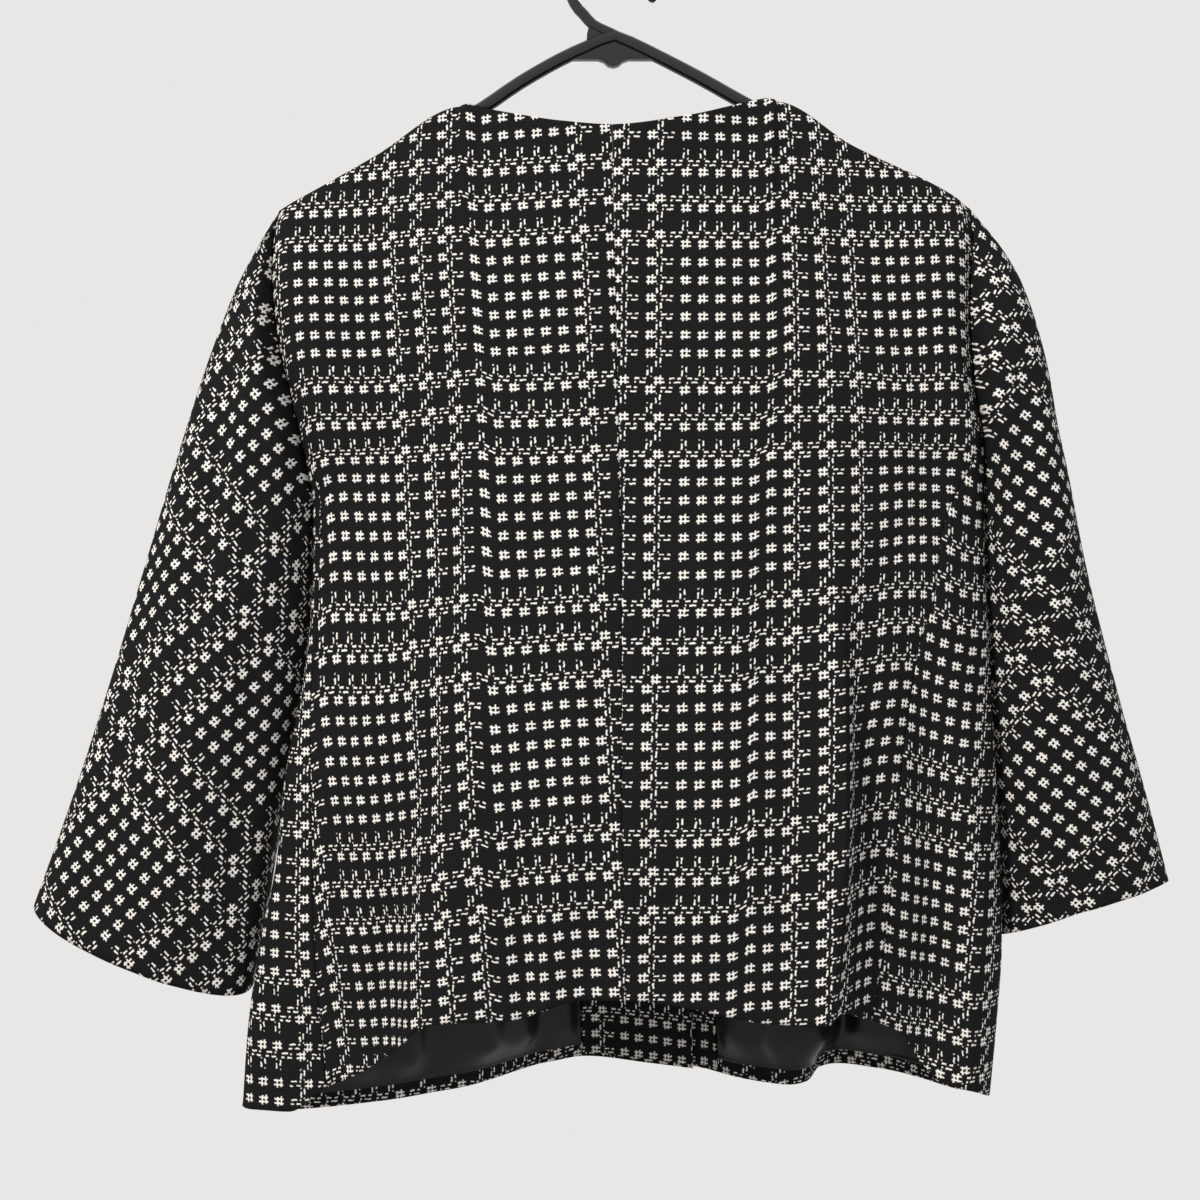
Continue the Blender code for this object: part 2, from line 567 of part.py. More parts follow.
def left_seam(v):
    """The left side-back seam, which leaves the side edge at the underarm."""
    return seam_share(LEFT_SIDE_BACK, v, False)


def right_seam(v):
    """The right side-back seam, which starts in the armhole."""
    return seam_share(RIGHT_SIDE_BACK, v, False)


def centre_left(v):
    """The left side of the centre-back seam."""
    return seam_share(CENTRE_BACK, v, False) - GAP_SHARE


def centre_right(v):
    """The right side of the centre-back seam."""
    return seam_share(CENTRE_BACK, v, False) + GAP_SHARE


def back_left_edge(v):
    """The armhole's edge above the underarm, then the side-back seam."""
    return np.where(v < 0.289, 0.0, left_seam(v) + GAP_SHARE)


def back_right_edge(v):
    """The armhole's edge down to where the side-back seam starts, then the seam."""
    return np.where(v < 0.269, 1.0, right_seam(v) - GAP_SHARE)


def side_left_edge(v):
    """The side of the left side-back seam that the side panel has."""
    return left_seam(v) - GAP_SHARE


def side_right_edge(v):
    """The side of the right side-back seam that the side panel has."""
    return right_seam(v) + GAP_SHARE


def front_line(offset):
    """A line beside the centre front, as a share across."""
    def find(v):
        table = tuple((z, x + offset) for z, x in FRONT_CENTRE)
        return seam_share(table, v, True)
    return find


def stepped(*shares):
    """Column shares across a stretch, from the shares across the whole body that bound them."""
    low = shares[0]
    high = shares[-1]
    return tuple((share - low) / (high - low) for share in shares)


BACK_LEFT_COLUMNS = stepped(0.0, 0.006, 0.02, 0.045, 0.08, 0.125, 0.175, 0.225, 0.265, 0.28, 0.30, 0.34, 0.40, 0.4815)
BACK_RIGHT_COLUMNS = stepped(0.4815, 0.53, 0.58, 0.63, 0.67, 0.6965, 0.711, 0.719, 0.75, 0.79, 0.83, 0.87, 0.91,
                             0.945, 0.97, 0.988, 1.0)
FRONT_LEFT_COLUMNS = stepped(0.0, 0.008, 0.03, 0.07, 0.13, 0.20, 0.25, 0.265, 0.278, 0.298, 0.335, 0.386)
FRONT_RIGHT_COLUMNS = stepped(0.605, 0.65, 0.6965, 0.711, 0.719, 0.745, 0.79, 0.85, 0.90, 0.945, 0.975, 0.992, 1.0)
LEFT_ROWS = ARMHOLE_ROWS + LOWER_ROWS
RIGHT_ROWS = RIGHT_ARMHOLE_ROWS + LOWER_ROWS

s_grid, v_grid = grid(LEFT_ROWS, (back_left_edge, centre_left), (BACK_LEFT_COLUMNS,))
panel("back_left", False, s_grid, v_grid, TWEED, material("back_left", CLOTH, 0.9))
s_grid, v_grid = grid(RIGHT_ROWS, (centre_right, back_right_edge), (BACK_RIGHT_COLUMNS,))
panel("back_right", False, s_grid, v_grid, TWEED, material("back_right", CLOTH, 0.9))
rows = tuple(r for r in LEFT_ROWS if r > 0.289)
s_grid, v_grid = grid(rows, (left_limit, side_left_edge), (spread(5, tight_start=True),))
panel("side_back_left", False, s_grid, v_grid, TWEED, material("side_back_left", CLOTH, 0.9))
rows = tuple(r for r in RIGHT_ROWS if r > 0.269)
s_grid, v_grid = grid(rows, (side_right_edge, right_limit), (spread(7, tight_end=True),))
panel("side_back_right", False, s_grid, v_grid, TWEED, material("side_back_right", CLOTH, 0.9))

left_free = front_line(OVERLAP_HALF)
right_free = front_line(-OVERLAP_HALF)
facing_left_line = front_line(-OVERLAP_HALF - 18.0)
facing_right_line = front_line(OVERLAP_HALF + 18.0)
INSIDE = TWEED + SEAM
SATIN_BLACK = (0.012, 0.012, 0.014)
LINING_TOP = 15
FACING_FOOT = 0.996

s_grid, v_grid = grid(LEFT_ROWS, (left_limit, facing_left_line, right_free, left_free),
                      (FRONT_LEFT_COLUMNS, spread(1), spread(3)))
panel("front_left", True, s_grid, v_grid, TWEED, material("front_left", CLOTH, 0.9))
strip_s = s_grid[1:, 11:].copy()
strip_s[:, 0] += GAP_SHARE
strip_s[:, -1] -= 4.0 * GAP_SHARE
strip_v = np.minimum(v_grid[1:, 11:], FACING_FOOT)
panel("facing_left", True, strip_s, strip_v, FACING, material("facing_left", CLOTH, 0.9), skip=INSIDE)
lining_s = s_grid[LINING_TOP - 2:-1, 2:12].copy()
lining_s[:, -1] -= GAP_SHARE
panel("lining_left", True, lining_s, v_grid[LINING_TOP - 2:-1, 2:12], SATIN,
      material("lining_left", SATIN_BLACK, 0.35), skip=INSIDE)

s_grid, v_grid = grid(RIGHT_ROWS, (right_free, left_free, facing_right_line, right_limit),
                      (spread(3), spread(1), FRONT_RIGHT_COLUMNS))
panel("front_right", True, s_grid, v_grid, TWEED, material("front_right", CLOTH, 0.9), lapped=True)
strip_s = s_grid[1:, :5].copy()
strip_s[:, 0] += 4.0 * GAP_SHARE
strip_s[:, -1] -= GAP_SHARE
strip_v = np.minimum(v_grid[1:, :5], FACING_FOOT)
panel("facing_right", True, strip_s, strip_v, FACING, material("facing_right", CLOTH, 0.9), skip=INSIDE,
      lapped=True)
lining_s = s_grid[LINING_TOP:-1, 4:-2].copy()
lining_s[:, 0] += GAP_SHARE
panel("lining_right", True, lining_s, v_grid[LINING_TOP:-1, 4:-2], SATIN,
      material("lining_right", SATIN_BLACK, 0.35), skip=INSIDE, lapped=True)

sleeve("sleeve_left", LEFT_SLEEVE, True, ARMHOLE_ROWS, material("sleeve_left", CLOTH, 0.9))
sleeve("sleeve_right", RIGHT_SLEEVE, False, RIGHT_ARMHOLE_ROWS, material("sleeve_right", CLOTH, 0.9))
hanger(material("hanger", (0.01, 0.01, 0.011), 0.25))
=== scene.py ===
# %% [markdown]
# # A cropped tweed jacket on a hanger
#
# The jacket hangs on a tubular plastic hanger with its back to the viewer. Its hem is open, so the lining
# and the facings inside the fronts show below the back.

# %% Load the frame
import math

import bpy
import numpy as np
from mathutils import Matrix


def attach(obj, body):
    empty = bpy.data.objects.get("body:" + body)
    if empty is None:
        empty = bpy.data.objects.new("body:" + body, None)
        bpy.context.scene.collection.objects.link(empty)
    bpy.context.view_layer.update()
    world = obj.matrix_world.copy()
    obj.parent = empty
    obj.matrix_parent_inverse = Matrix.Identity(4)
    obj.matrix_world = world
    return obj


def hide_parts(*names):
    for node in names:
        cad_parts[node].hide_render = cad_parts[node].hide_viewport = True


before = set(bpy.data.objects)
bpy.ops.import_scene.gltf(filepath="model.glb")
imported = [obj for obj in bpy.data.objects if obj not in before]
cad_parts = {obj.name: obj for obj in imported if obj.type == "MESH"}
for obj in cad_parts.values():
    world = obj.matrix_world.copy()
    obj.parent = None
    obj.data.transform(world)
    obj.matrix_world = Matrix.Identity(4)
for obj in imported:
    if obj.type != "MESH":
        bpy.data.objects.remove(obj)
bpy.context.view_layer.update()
bpy.ops.object.select_all(action="DESELECT")
print("solids in the frame:", ", ".join(sorted(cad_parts)))

# %% [markdown]
# ## Driving sizes
#
# All lengths are millimetres until a mesh is made. The tables give the outlines as a few stations each: a
# pattern cutter also draws an edge through a handful of measured points and lets the curve do the rest.

# %% Sizes
MM = 0.001
TWEED = 2.0              # thickness of the tweed's solid
SEAM = 0.3               # gap left between pieces that meet at a seam
OVERLAP_STEP = 5.6       # how far the right front stands off to pass over the left front
OVERLAP_HALF = 30.0      # half of the front overlap
BODY_ROLL = 10.0         # depth of the side rolls once they have died away into the body
SHOULDER_ROLL = 7.0      # radius of the cloth's roll over the hanger
ARMHOLE_HALF = 11.0      # half the width of the flattened armhole
FRONT_NECK_DROP = 85.0   # how far the front neckline drops below the back's
NECK_BACK = 20.0         # how far the back neckline bows out behind the hanger
NECK_FRONT = 28.0        # how far the front neckline bows out before the hanger
UNDERARM = 0.32          # way down the side edges where the armholes end
BODY_WIDTH = 460.0       # the body from side to side, for distances from its edges
NECK_HALF = 99.0         # half the width of the neck opening
NECK_REACH = 15.0        # how soon the neck opening reaches its full bow from a neck point
ARM_REACH = 70.0         # how far in from the edge the armhole still lifts the cloth
ROLL_REACH = 90.0        # how far in from the edge the side roll has become the body's own
HANG_START = 0.36        # way down where the hem's folds start to show
HANG_REACH = 0.66        # how much of the way they take to reach their full depth
SETTLE = 80.0            # drop over which the cloth leaves the hanger for the body's form
LAP_START = 4.0          # how far past the free edge the right front starts to settle
LAP_REACH = 40.0         # how far it takes to lie as deep as the left front
print("shoulder roll", SHOULDER_ROLL, "mm, front overlap", 2 * OVERLAP_HALF, "mm")

# %% [markdown]
# ## Outlines of the body
#
# A cutter draws an edge once and every piece that meets there is cut to it. Each edge could be a Bezier
# curve that is converted to a mesh, but several pieces read the same edge here, so it is a table with named
# columns: the back, the front and the sleeve all take the side outline from the same rows.

# %% Outlines
# Side outlines from the shoulder point down the armhole and the side seam to the hem.
# columns: height, x
LEFT_SIDE = ((-737.5, -234.7), (-683.4, -230.8), (-632.5, -223.2), (-581.7, -213.0), (-530.8, -207.9),
             (-479.9, -198.4), (-441.7, -192.7), (-390.9, -189.5), (-352.7, -190.1), (-320.9, -195.2),
             (-289.1, -201.6), (-260.5, -208.6), (-235.0, -212.4), (-206.4, -214.3), (-187.3, -214.2),
             (-168.3, -210.5))
RIGHT_SIDE = ((-730.5, 239.8), (-683.4, 244.3), (-632.5, 247.4), (-568.9, 245.5), (-479.9, 241.1),
              (-441.7, 239.2), (-390.9, 236.6), (-346.3, 236.6), (-314.5, 234.1), (-277.0, 227.4),
              (-238.2, 225.0), (-209.6, 226.0), (-187.3, 228.0), (-167.0, 226.4))

# Upper edge of the back.  columns: x, height
BACK_TOP = ((-210.5, -168.3), (-150.7, -134.6), (-94.7, -102.8), (-77.0, -108.5), (-57.7, -112.9),
            (-32.6, -117.3), (0.0, -120.1), (48.7, -113.6), (80.7, -105.3), (103.7, -99.6), (151.4, -126.9),
            (215.0, -158.7), (226.4, -167.0))
NECK_LEFT = (-94.7, -102.8)
NECK_RIGHT = (103.7, -99.6)

# Lower edge of the back as it hangs.  columns: x, height, how far it stands out behind the side seams
BACK_HEM = ((-234.7, -737.5, 0.0), (-219.9, -736.6, 5.0), (-201.5, -736.0, 9.0), (-179.4, -721.0, 10.0),
            (-153.7, -708.4, 15.0), (-133.7, -693.1, 25.0), (-119.7, -677.8, 38.0), (-108.0, -672.3, 42.0),
            (-57.0, -668.5, 45.0), (-38.2, -660.6, 49.0), (-18.0, -656.5, 46.0), (5.6, -655.8, 50.0),
            (46.4, -661.1, 48.0), (95.5, -669.8, 49.0), (116.0, -670.4, 54.0), (128.0, -668.6, 57.0),
            (139.0, -666.5, 37.0), (153.0, -673.4, 25.0), (178.3, -684.6, 14.0), (193.4, -705.9, 10.0),
            (205.9, -716.5, 18.0), (216.7, -718.9, 20.0), (226.0, -722.5, 14.0), (239.8, -730.5, 0.0))

# Lower edge of the fronts.  columns: x, height, how far it stands out before the side seams
FRONT_HEM = ((-234.7, -737.5, 0.0), (-199.6, -743.5, 4.0), (-149.8, -742.0, 14.0), (-94.5, -740.7, 44.0),
             (-43.3, -740.5, 92.0), (-18.0, -740.2, 106.0), (27.5, -741.1, 92.0), (61.4, -740.8, 76.0),
             (90.3, -740.5, 54.0), (117.0, -740.0, 43.0), (130.0, -740.4, 50.0), (143.0, -739.6, 78.0),
             (160.1, -740.6, 88.0), (187.0, -740.9, 80.0), (211.0, -740.2, 58.0), (226.0, -738.0, 30.0),
             (239.8, -730.5, 0.0))

# Fullness between the side rolls.  columns: way down from the top (0) to the hem (1), back, front
FULLNESS = ((0.0, 5.0, 4.0), (0.10, 15.0, 12.0), (0.25, 21.0, 18.0), (0.40, 27.0, 26.0), (0.60, 34.0, 38.0),
            (0.80, 40.0, 52.0), (1.0, 44.0, 62.0))

# The cloth's roll at its side edges.  columns: way down, roll depth, roll width, roundness
SIDE_ROLL = ((0.0, 4.0, 9.0, 1.0), (0.07, 9.0, 15.0, 1.0), (0.16, 15.0, 24.0, 1.0),
             (0.27, 13.0, 20.0, 1.15), (0.34, 8.0, 11.0, 1.8), (0.42, 7.0, 9.0, 2.0), (1.0, 7.0, 9.0, 2.0))

# Seams on the back.  columns: height, x
CENTRE_BACK = ((-655.8, 8.0), (-524.6, 5.6), (-440.4, 5.7), (-257.8, 2.8), (-120.4, -0.1))
LEFT_SIDE_BACK = ((-720.0, -178.0), (-691.2, -180.7), (-629.2, -185.4), (-535.6, -187.9), (-479.5, -189.0),
                  (-441.6, -185.8), (-391.0, -183.9), (-355.0, -183.3), (-328.0, -194.2))
RIGHT_SIDE_BACK = ((-675.2, 160.0), (-652.4, 164.4), (-573.1, 174.4), (-513.3, 179.0), (-474.0, 185.1),
                   (-444.6, 190.4), (-414.5, 200.1), (-376.8, 204.9), (-315.6, 233.5))
FRONT_CENTRE = ((-740.0, 27.0), (-188.0, 6.0))

print("the back runs from", BACK_TOP[0][0], "to", BACK_TOP[-1][0], "mm at the shoulders")

# %% [markdown]
# ## Outlines of the sleeves
#
# A wide three-quarter sleeve hangs as a flattened tube. Each row below is one cross-section: where its
# outer and inner edges lie, how deep it is and how its back tilts. Rings joined by Bridge Edge Loops could
# make the same tube by hand; with a table the first ring can follow the armhole exactly.

# %% Sleeve outlines
# Sleeves, from the armhole (0) to the cuff (1).
# columns: way along, outer x, outer height, inner x, inner height, half depth, middle's y, tilt of the back
LEFT_SLEEVE = ((0.00, -211.0, -168.3, -190.6, -353.5, 6.0, 0.0, 0.0),
               (0.04, -217.0, -178.5, -191.8, -360.0, 17.0, 0.0, 0.0),
               (0.09, -223.6, -190.6, -192.8, -369.0, 25.0, 0.0, 0.0),
               (0.17, -236.6, -214.1, -193.0, -383.0, 31.0, 1.0, 1.0),
               (0.31, -257.5, -266.8, -194.0, -416.3, 35.0, 3.0, 2.0),
               (0.46, -278.5, -330.4, -197.6, -457.6, 37.0, 5.0, 4.0),
               (0.60, -298.3, -394.0, -205.2, -499.0, 37.0, 7.0, 5.0),
               (0.74, -320.5, -467.2, -212.2, -543.5, 36.0, 8.0, 7.0),
               (0.88, -344.7, -540.3, -220.4, -600.7, 34.0, 9.0, 9.0),
               (1.00, -370.1, -610.3, -231.8, -664.3, 31.0, 10.0, 11.0))
RIGHT_SLEEVE = ((0.00, 226.9, -167.0, 237.1, -348.0, 6.0, 0.0, 0.0),
                (0.04, 235.4, -177.5, 238.4, -351.5, 17.0, 0.0, 0.0),
                (0.09, 246.8, -192.4, 239.4, -357.5, 25.0, 0.0, 0.0),
                (0.17, 259.5, -214.7, 240.2, -371.8, 31.0, 1.0, 0.0),
                (0.31, 273.5, -257.3, 241.0, -409.9, 35.0, 3.0, -1.0),
                (0.46, 286.2, -317.7, 242.9, -454.5, 37.0, 5.0, -1.0),
                (0.60, 300.9, -390.9, 245.0, -499.0, 37.0, 7.0, -2.0),
                (0.74, 321.8, -473.5, 247.4, -543.5, 36.0, 8.0, -3.0),
                (0.88, 340.3, -537.1, 249.6, -588.0, 34.0, 9.0, -4.0),
                (1.00, 356.2, -595.7, 250.6, -632.5, 31.0, 10.0, -5.0))
SLEEVE_LEAN = 9.0        # how much further forward a sleeve's inner edge hangs than its outer edge
SLEEVE_BLUNT = 0.8       # how blunt a sleeve's inner edge is; 1 is an oval
SLEEVE_LEAVES = 0.3      # way along where a sleeve has left the armhole's ring
print("sleeve sections", len(LEFT_SLEEVE), "left,", len(RIGHT_SLEEVE), "right")

# %% [markdown]
# ## Smooth curves through a few stations
#
# A soft edge has no corners, so the stations are joined by a curve. A plain spline overshoots between
# uneven stations and leaves ripples; this one keeps each stretch between the heights of its two ends, as a
# flexible ruler held at the marks does.

# %% Curves through the tables
def curve(table, where, column=1):
    """Smooth curve through one column of a table, read against its first column."""
    rows = np.asarray(table, dtype=float)
    x = rows[:, 0]
    y = rows[:, column]
    step = np.diff(x)
    slope = np.diff(y) / step
    tangent = np.zeros(len(x))
    tangent[0] = slope[0]
    tangent[-1] = slope[-1]
    for i in range(1, len(x) - 1):
        if slope[i - 1] * slope[i] > 0.0:
            w1 = 2.0 * step[i] + step[i - 1]
            w2 = step[i] + 2.0 * step[i - 1]
            tangent[i] = (w1 + w2) / (w1 / slope[i - 1] + w2 / slope[i])
    at = np.clip(np.asarray(where, dtype=float), x[0], x[-1])
    k = np.clip(np.searchsorted(x, at, side="right") - 1, 0, len(x) - 2)
    t = (at - x[k]) / step[k]
    h00 = (1.0 + 2.0 * t) * (1.0 - t) ** 2
    h10 = t * (1.0 - t) ** 2
    h01 = t * t * (3.0 - 2.0 * t)
    h11 = t * t * (t - 1.0)
    return h00 * y[k] + h10 * step[k] * tangent[k] + h01 * y[k + 1] + h11 * step[k] * tangent[k + 1]


def smooth(value):
    """Ease from 0 to 1."""
    v = np.clip(value, 0.0, 1.0)
    return v * v * (3.0 - 2.0 * v)


print("side outline at half height, x:", round(float(curve(LEFT_SIDE, -450.0)), 1))


# %% [markdown]
# ## Edges of the body
#
# The body is bounded by its two side outlines and by its upper edge, which drops into the neck opening. The
# front's neckline drops further than the back's, and both bow out because the hanger's arms push the cloth
# apart.

# %% Edges of the body
def side_edges(v):
    """x and height of the left and right edges at a share v of the way down."""
    left_z = LEFT_SIDE[-1][0] + v * (LEFT_SIDE[0][0] - LEFT_SIDE[-1][0])
    right_z = RIGHT_SIDE[-1][0] + v * (RIGHT_SIDE[0][0] - RIGHT_SIDE[-1][0])
    return curve(LEFT_SIDE, left_z), left_z, curve(RIGHT_SIDE, right_z), right_z


def neck_share(x):
    """-1 at the left neck point, 0 in the middle, 1 at the right neck point."""
    middle = 0.5 * (NECK_LEFT[0] + NECK_RIGHT[0])
    return (x - middle) / (0.5 * (NECK_RIGHT[0] - NECK_LEFT[0]))


def top_edge(x, front):
    """Height and depth of the upper edge, and how much of the neck opening is there."""
    share = np.clip(np.abs(neck_share(x)), 0.0, 1.0)
    height = curve(BACK_TOP, x)
    if front:
        chord = NECK_LEFT[1] + 0.5 * (neck_share(x) + 1.0) * (NECK_RIGHT[1] - NECK_LEFT[1])
        dropped = chord - FRONT_NECK_DROP * (1.0 - share ** 2.2)
        height = np.where(share < 1.0, dropped, height)
    bow = (NECK_FRONT if front else NECK_BACK) * np.clip(1.0 - share ** 2, 0.0, 1.0) ** 0.4
    open_neck = smooth((1.0 - share) * NECK_HALF / NECK_REACH)
    return height, bow, open_neck


def armhole_depth(v):
    """How far the armhole's edge stands off the hanger's plane."""
    share = np.clip(v / UNDERARM, 0.0, 1.0)
    return ARMHOLE_HALF * np.sin(math.pi * share) ** 0.8


# %% [markdown]
# ## The body's surface
#
# A hanging garment has no simple primitive behind it, so its surface is written as a function: give it how
# far across and how far down, and it gives a point. Every panel, facing and lining below is cut from the
# same function, which is why their edges meet without any fitting. The depth adds up from what the cloth
# does: it rolls over the hanger, rolls at the sides, fills out below the bust and takes the hem's own folds
# as it falls.

# %% The body's surface
def body(s, v, front, lapped=False):
    """Outer face of the body: s runs from the left edge to the right, v from the top to the hem."""
    left_x, left_z, right_x, right_z = side_edges(v)
    x_top = LEFT_SIDE[-1][1] + s * (RIGHT_SIDE[-1][1] - LEFT_SIDE[-1][1])
    x_hem = LEFT_SIDE[0][1] + s * (RIGHT_SIDE[0][1] - LEFT_SIDE[0][1])
    x = left_x + s * (right_x - left_x)
    z_top, bow, open_neck = top_edge(x_top, front)
    hem = FRONT_HEM if front else BACK_HEM
    z_hem = curve(hem, x_hem)
    z = z_top + v * (z_hem - z_top)
    drop = z_top - z
    edge = np.minimum(x - left_x, right_x - x)
    depth = curve(SIDE_ROLL, v, 1)
    width = curve(SIDE_ROLL, v, 2)
    round_off = curve(SIDE_ROLL, v, 3)
    share = np.clip(edge / width, 0.0, 1.0)
    side = np.maximum(1.0 - (1.0 - share) ** 2, 0.0) ** (1.0 / round_off)
    across = np.abs(2.0 * s - 1.0)
    fullness = curve(FULLNESS, v, 2 if front else 1) * np.maximum(1.0 - across ** 3, 0.0) ** 0.7
    hung = smooth((v - HANG_START) / HANG_REACH)
    fullness = fullness + hung * (curve(hem, x_hem, 2) - fullness)
    arm = armhole_depth(v) * (1.0 - smooth(edge / ARM_REACH))
    full = (BODY_ROLL + (depth - BODY_ROLL) * (1.0 - smooth(edge / ROLL_REACH))) * side + fullness
    over = np.clip(drop / (SHOULDER_ROLL * 1.15), 0.0, 1.0)
    shoulder = SHOULDER_ROLL * np.sqrt(np.maximum(1.0 - (1.0 - over) ** 2, 0.0)) * side
    settle = 1.0 - np.exp(-drop / SETTLE)
    roll = (1.0 - open_neck) * shoulder
    y = bow + roll + arm + (full - bow - (1.0 - open_neck) * SHOULDER_ROLL * side) * settle + 0.5 * SEAM
    if lapped:
        free = curve(FRONT_CENTRE, z) + OVERLAP_HALF
        y = y + OVERLAP_STEP * (1.0 - smooth((x - free - LAP_START) / LAP_REACH))
    if not front:
        y = -y
    return np.stack([x, y, z], axis=-1)


def share_at(x, v):
    """The share s across the body whose x is as given, at a share v down."""
    left_x, _, right_x, _ = side_edges(v)
    return (x - left_x) / (right_x - left_x)


def seam_share(table, v, front):
    """The share s of a seam that is given by height, found by walking onto its height."""
    s = np.full_like(v, 0.5)
    for _ in range(12):
        z = body(s, v, front)[..., 2]
        s = share_at(curve(table, z), v)
    return np.clip(s, 0.0, 1.0)


centre_back = body(np.array([0.5]), np.array([0.5]), False)[0]
print("middle of the back, mm:", centre_back.round(1))


# %% [markdown]
# ## The sleeve's surface
#
# A set-in sleeve is sewn to the armhole, so its first ring has to be the armhole's own edge. Further down
# it is a row of leaning ovals. The difference between the two fades out along the upper arm, so the head of
# the sleeve turns over smoothly.

# %% The sleeve's surface
def plain_sleeve(table, t, phi):
    """The sleeve as a row of leaning ovals: t from the armhole to the cuff, phi round by the back."""
    outer_x = curve(table, t, 1)
    outer_z = curve(table, t, 2)
    inner_x = curve(table, t, 3)
    inner_z = curve(table, t, 4)
    away = np.cos(phi)
    round_off = np.sin(phi)
    power = 1.0 + (SLEEVE_BLUNT - 1.0) * smooth(t / 0.25) * (away < 0.0)
    away = np.sign(away) * np.abs(away) ** power
    round_off = np.sign(round_off) * np.abs(round_off) ** power
    across = 0.5 + 0.5 * away
    x = inner_x + (outer_x - inner_x) * across
    z = inner_z + (outer_z - inner_z) * across - curve(table, t, 7) * round_off
    lean = SLEEVE_LEAN * smooth(t / SLEEVE_LEAVES) * (1.0 - across)
    y = curve(table, t, 6) + lean - curve(table, t, 5) * round_off
    return np.stack([x, y, z], axis=-1)


def sleeve_point(table, t, phi, left):
    """Outer face of a sleeve: it leaves the armhole's own edge and becomes a row of ovals."""
    across = 0.5 + 0.5 * np.cos(phi)
    sides = LEFT_SIDE if left else RIGHT_SIDE
    top = sides[-1][0]
    v = UNDERARM * (1.0 - across)
    z = top - v * (top - sides[0][0])
    x = curve(sides, z) + (-SEAM if left else SEAM)
    y = -np.sign(np.sin(phi)) * (armhole_depth(v) + 0.5 * SEAM)
    y = np.where(np.abs(np.sin(phi)) < 1e-6, 0.0, y)
    ring = np.stack([x, y, z], axis=-1)
    start = plain_sleeve(table, np.zeros_like(t), phi)
    blend = 1.0 - smooth(t / SLEEVE_LEAVES)
    return plain_sleeve(table, t, phi) + (ring - start) * blend[..., None]


cuff_edge = sleeve_point(LEFT_SLEEVE, np.array([1.0]), np.array([0.0]), True)[0]
print("outer edge of the left cuff, mm:", cuff_edge.round(1))


# %% [markdown]
# ## Creases
#
# Cloth under its own weight keeps a few soft folds. They could come from a simulation, but a simulated
# jacket rarely folds where this one does, so each main crease is one short line with a width and a height:
# a ridge when the height is positive, a trough when it is negative. The widths and spacings are uneven on
# purpose.

# %% Crease lines
# columns: upper x, upper height, lower x, lower height, width, height of the ridge
BACK_CREASES = ((140.0, -445.0, 143.0, -690.0, 5.0, 3.4), (152.0, -455.0, 160.0, -690.0, 9.0, -4.0),
                (186.0, -430.0, 206.0, -700.0, 11.0, -4.5), (-122.0, -600.0, -126.0, -700.0, 6.0, 4.0),
                (-136.0, -590.0, -142.0, -700.0, 9.0, -4.0), (-42.0, -575.0, -41.0, -670.0, 5.0, 2.2),
                (-52.0, -560.0, -53.0, -670.0, 8.0, -2.4), (-150.0, -190.0, -172.0, -330.0, 16.0, -2.2),
                (-168.0, -240.0, -150.0, -420.0, 20.0, 1.8), (180.0, -190.0, 196.0, -330.0, 15.0, -2.4),
                (205.0, -330.0, 150.0, -440.0, 13.0, -1.8), (-60.0, -128.0, 20.0, -150.0, 14.0, -1.2),
                (60.0, -330.0, 74.0, -640.0, 26.0, 2.2), (-95.0, -300.0, -88.0, -600.0, 30.0, 2.0),
                (20.0, -420.0, 26.0, -650.0, 20.0, -1.8), (100.0, -300.0, 112.0, -640.0, 18.0, -2.0))
FRONT_CREASES = ((-96.0, -420.0, -100.0, -735.0, 14.0, -4.0), (-60.0, -480.0, -56.0, -735.0, 18.0, 3.4),
                 (-150.0, -300.0, -158.0, -560.0, 20.0, 3.0), (-170.0, -220.0, -128.0, -330.0, 15.0, -2.6),
                 (118.0, -430.0, 120.0, -735.0, 12.0, -4.0), (150.0, -380.0, 162.0, -735.0, 16.0, 3.2),
                 (190.0, -230.0, 150.0, -340.0, 15.0, -2.6), (60.0, -250.0, 72.0, -560.0, 22.0, 2.4),
                 (205.0, -400.0, 212.0, -700.0, 12.0, -3.0), (-205.0, -420.0, -212.0, -690.0, 10.0, -2.4))
LEFT_SLEEVE_CREASES = ((-232.0, -215.0, -262.0, -470.0, 11.0, -3.2),
                       (-222.0, -260.0, -244.0, -420.0, 9.0, 2.4),
                       (-285.0, -360.0, -322.0, -600.0, 13.0, -3.0),
                       (-250.0, -420.0, -282.0, -640.0, 12.0, 2.6),
                       (-222.0, -430.0, -240.0, -600.0, 9.0, -2.6),
                       (-262.0, -290.0, -226.0, -380.0, 12.0, -2.0))
RIGHT_SLEEVE_CREASES = ((252.0, -230.0, 262.0, -470.0, 9.0, -3.0),
                        (270.0, -300.0, 284.0, -520.0, 11.0, 2.6),
                        (262.0, -430.0, 290.0, -610.0, 9.0, -3.0),
                        (300.0, -440.0, 326.0, -590.0, 10.0, 2.2),
                        (286.0, -280.0, 258.0, -390.0, 12.0, -1.8))
LINING_CREASES = ((-165.0, -600.0, -158.0, -735.0, 9.0, 6.0), (-142.0, -560.0, -132.0, -735.0, 11.0, 8.0),
                  (-116.0, -520.0, -121.0, -735.0, 8.0, -3.0), (-98.0, -540.0, -84.0, -735.0, 9.0, 7.0),
                  (-70.0, -560.0, -64.0, -735.0, 12.0, 5.0), (-46.0, -590.0, -52.0, -735.0, 7.0, -3.0),
                  (84.0, -560.0, 90.0, -735.0, 9.0, 5.0), (104.0, -560.0, 112.0, -735.0, 7.0, 6.0),
                  (124.0, -590.0, 122.0, -735.0, 7.0, -3.0), (150.0, -560.0, 142.0, -735.0, 10.0, 6.0),
                  (180.0, -560.0, 176.0, -735.0, 12.0, 5.0), (205.0, -560.0, 208.0, -735.0, 10.0, -2.5))


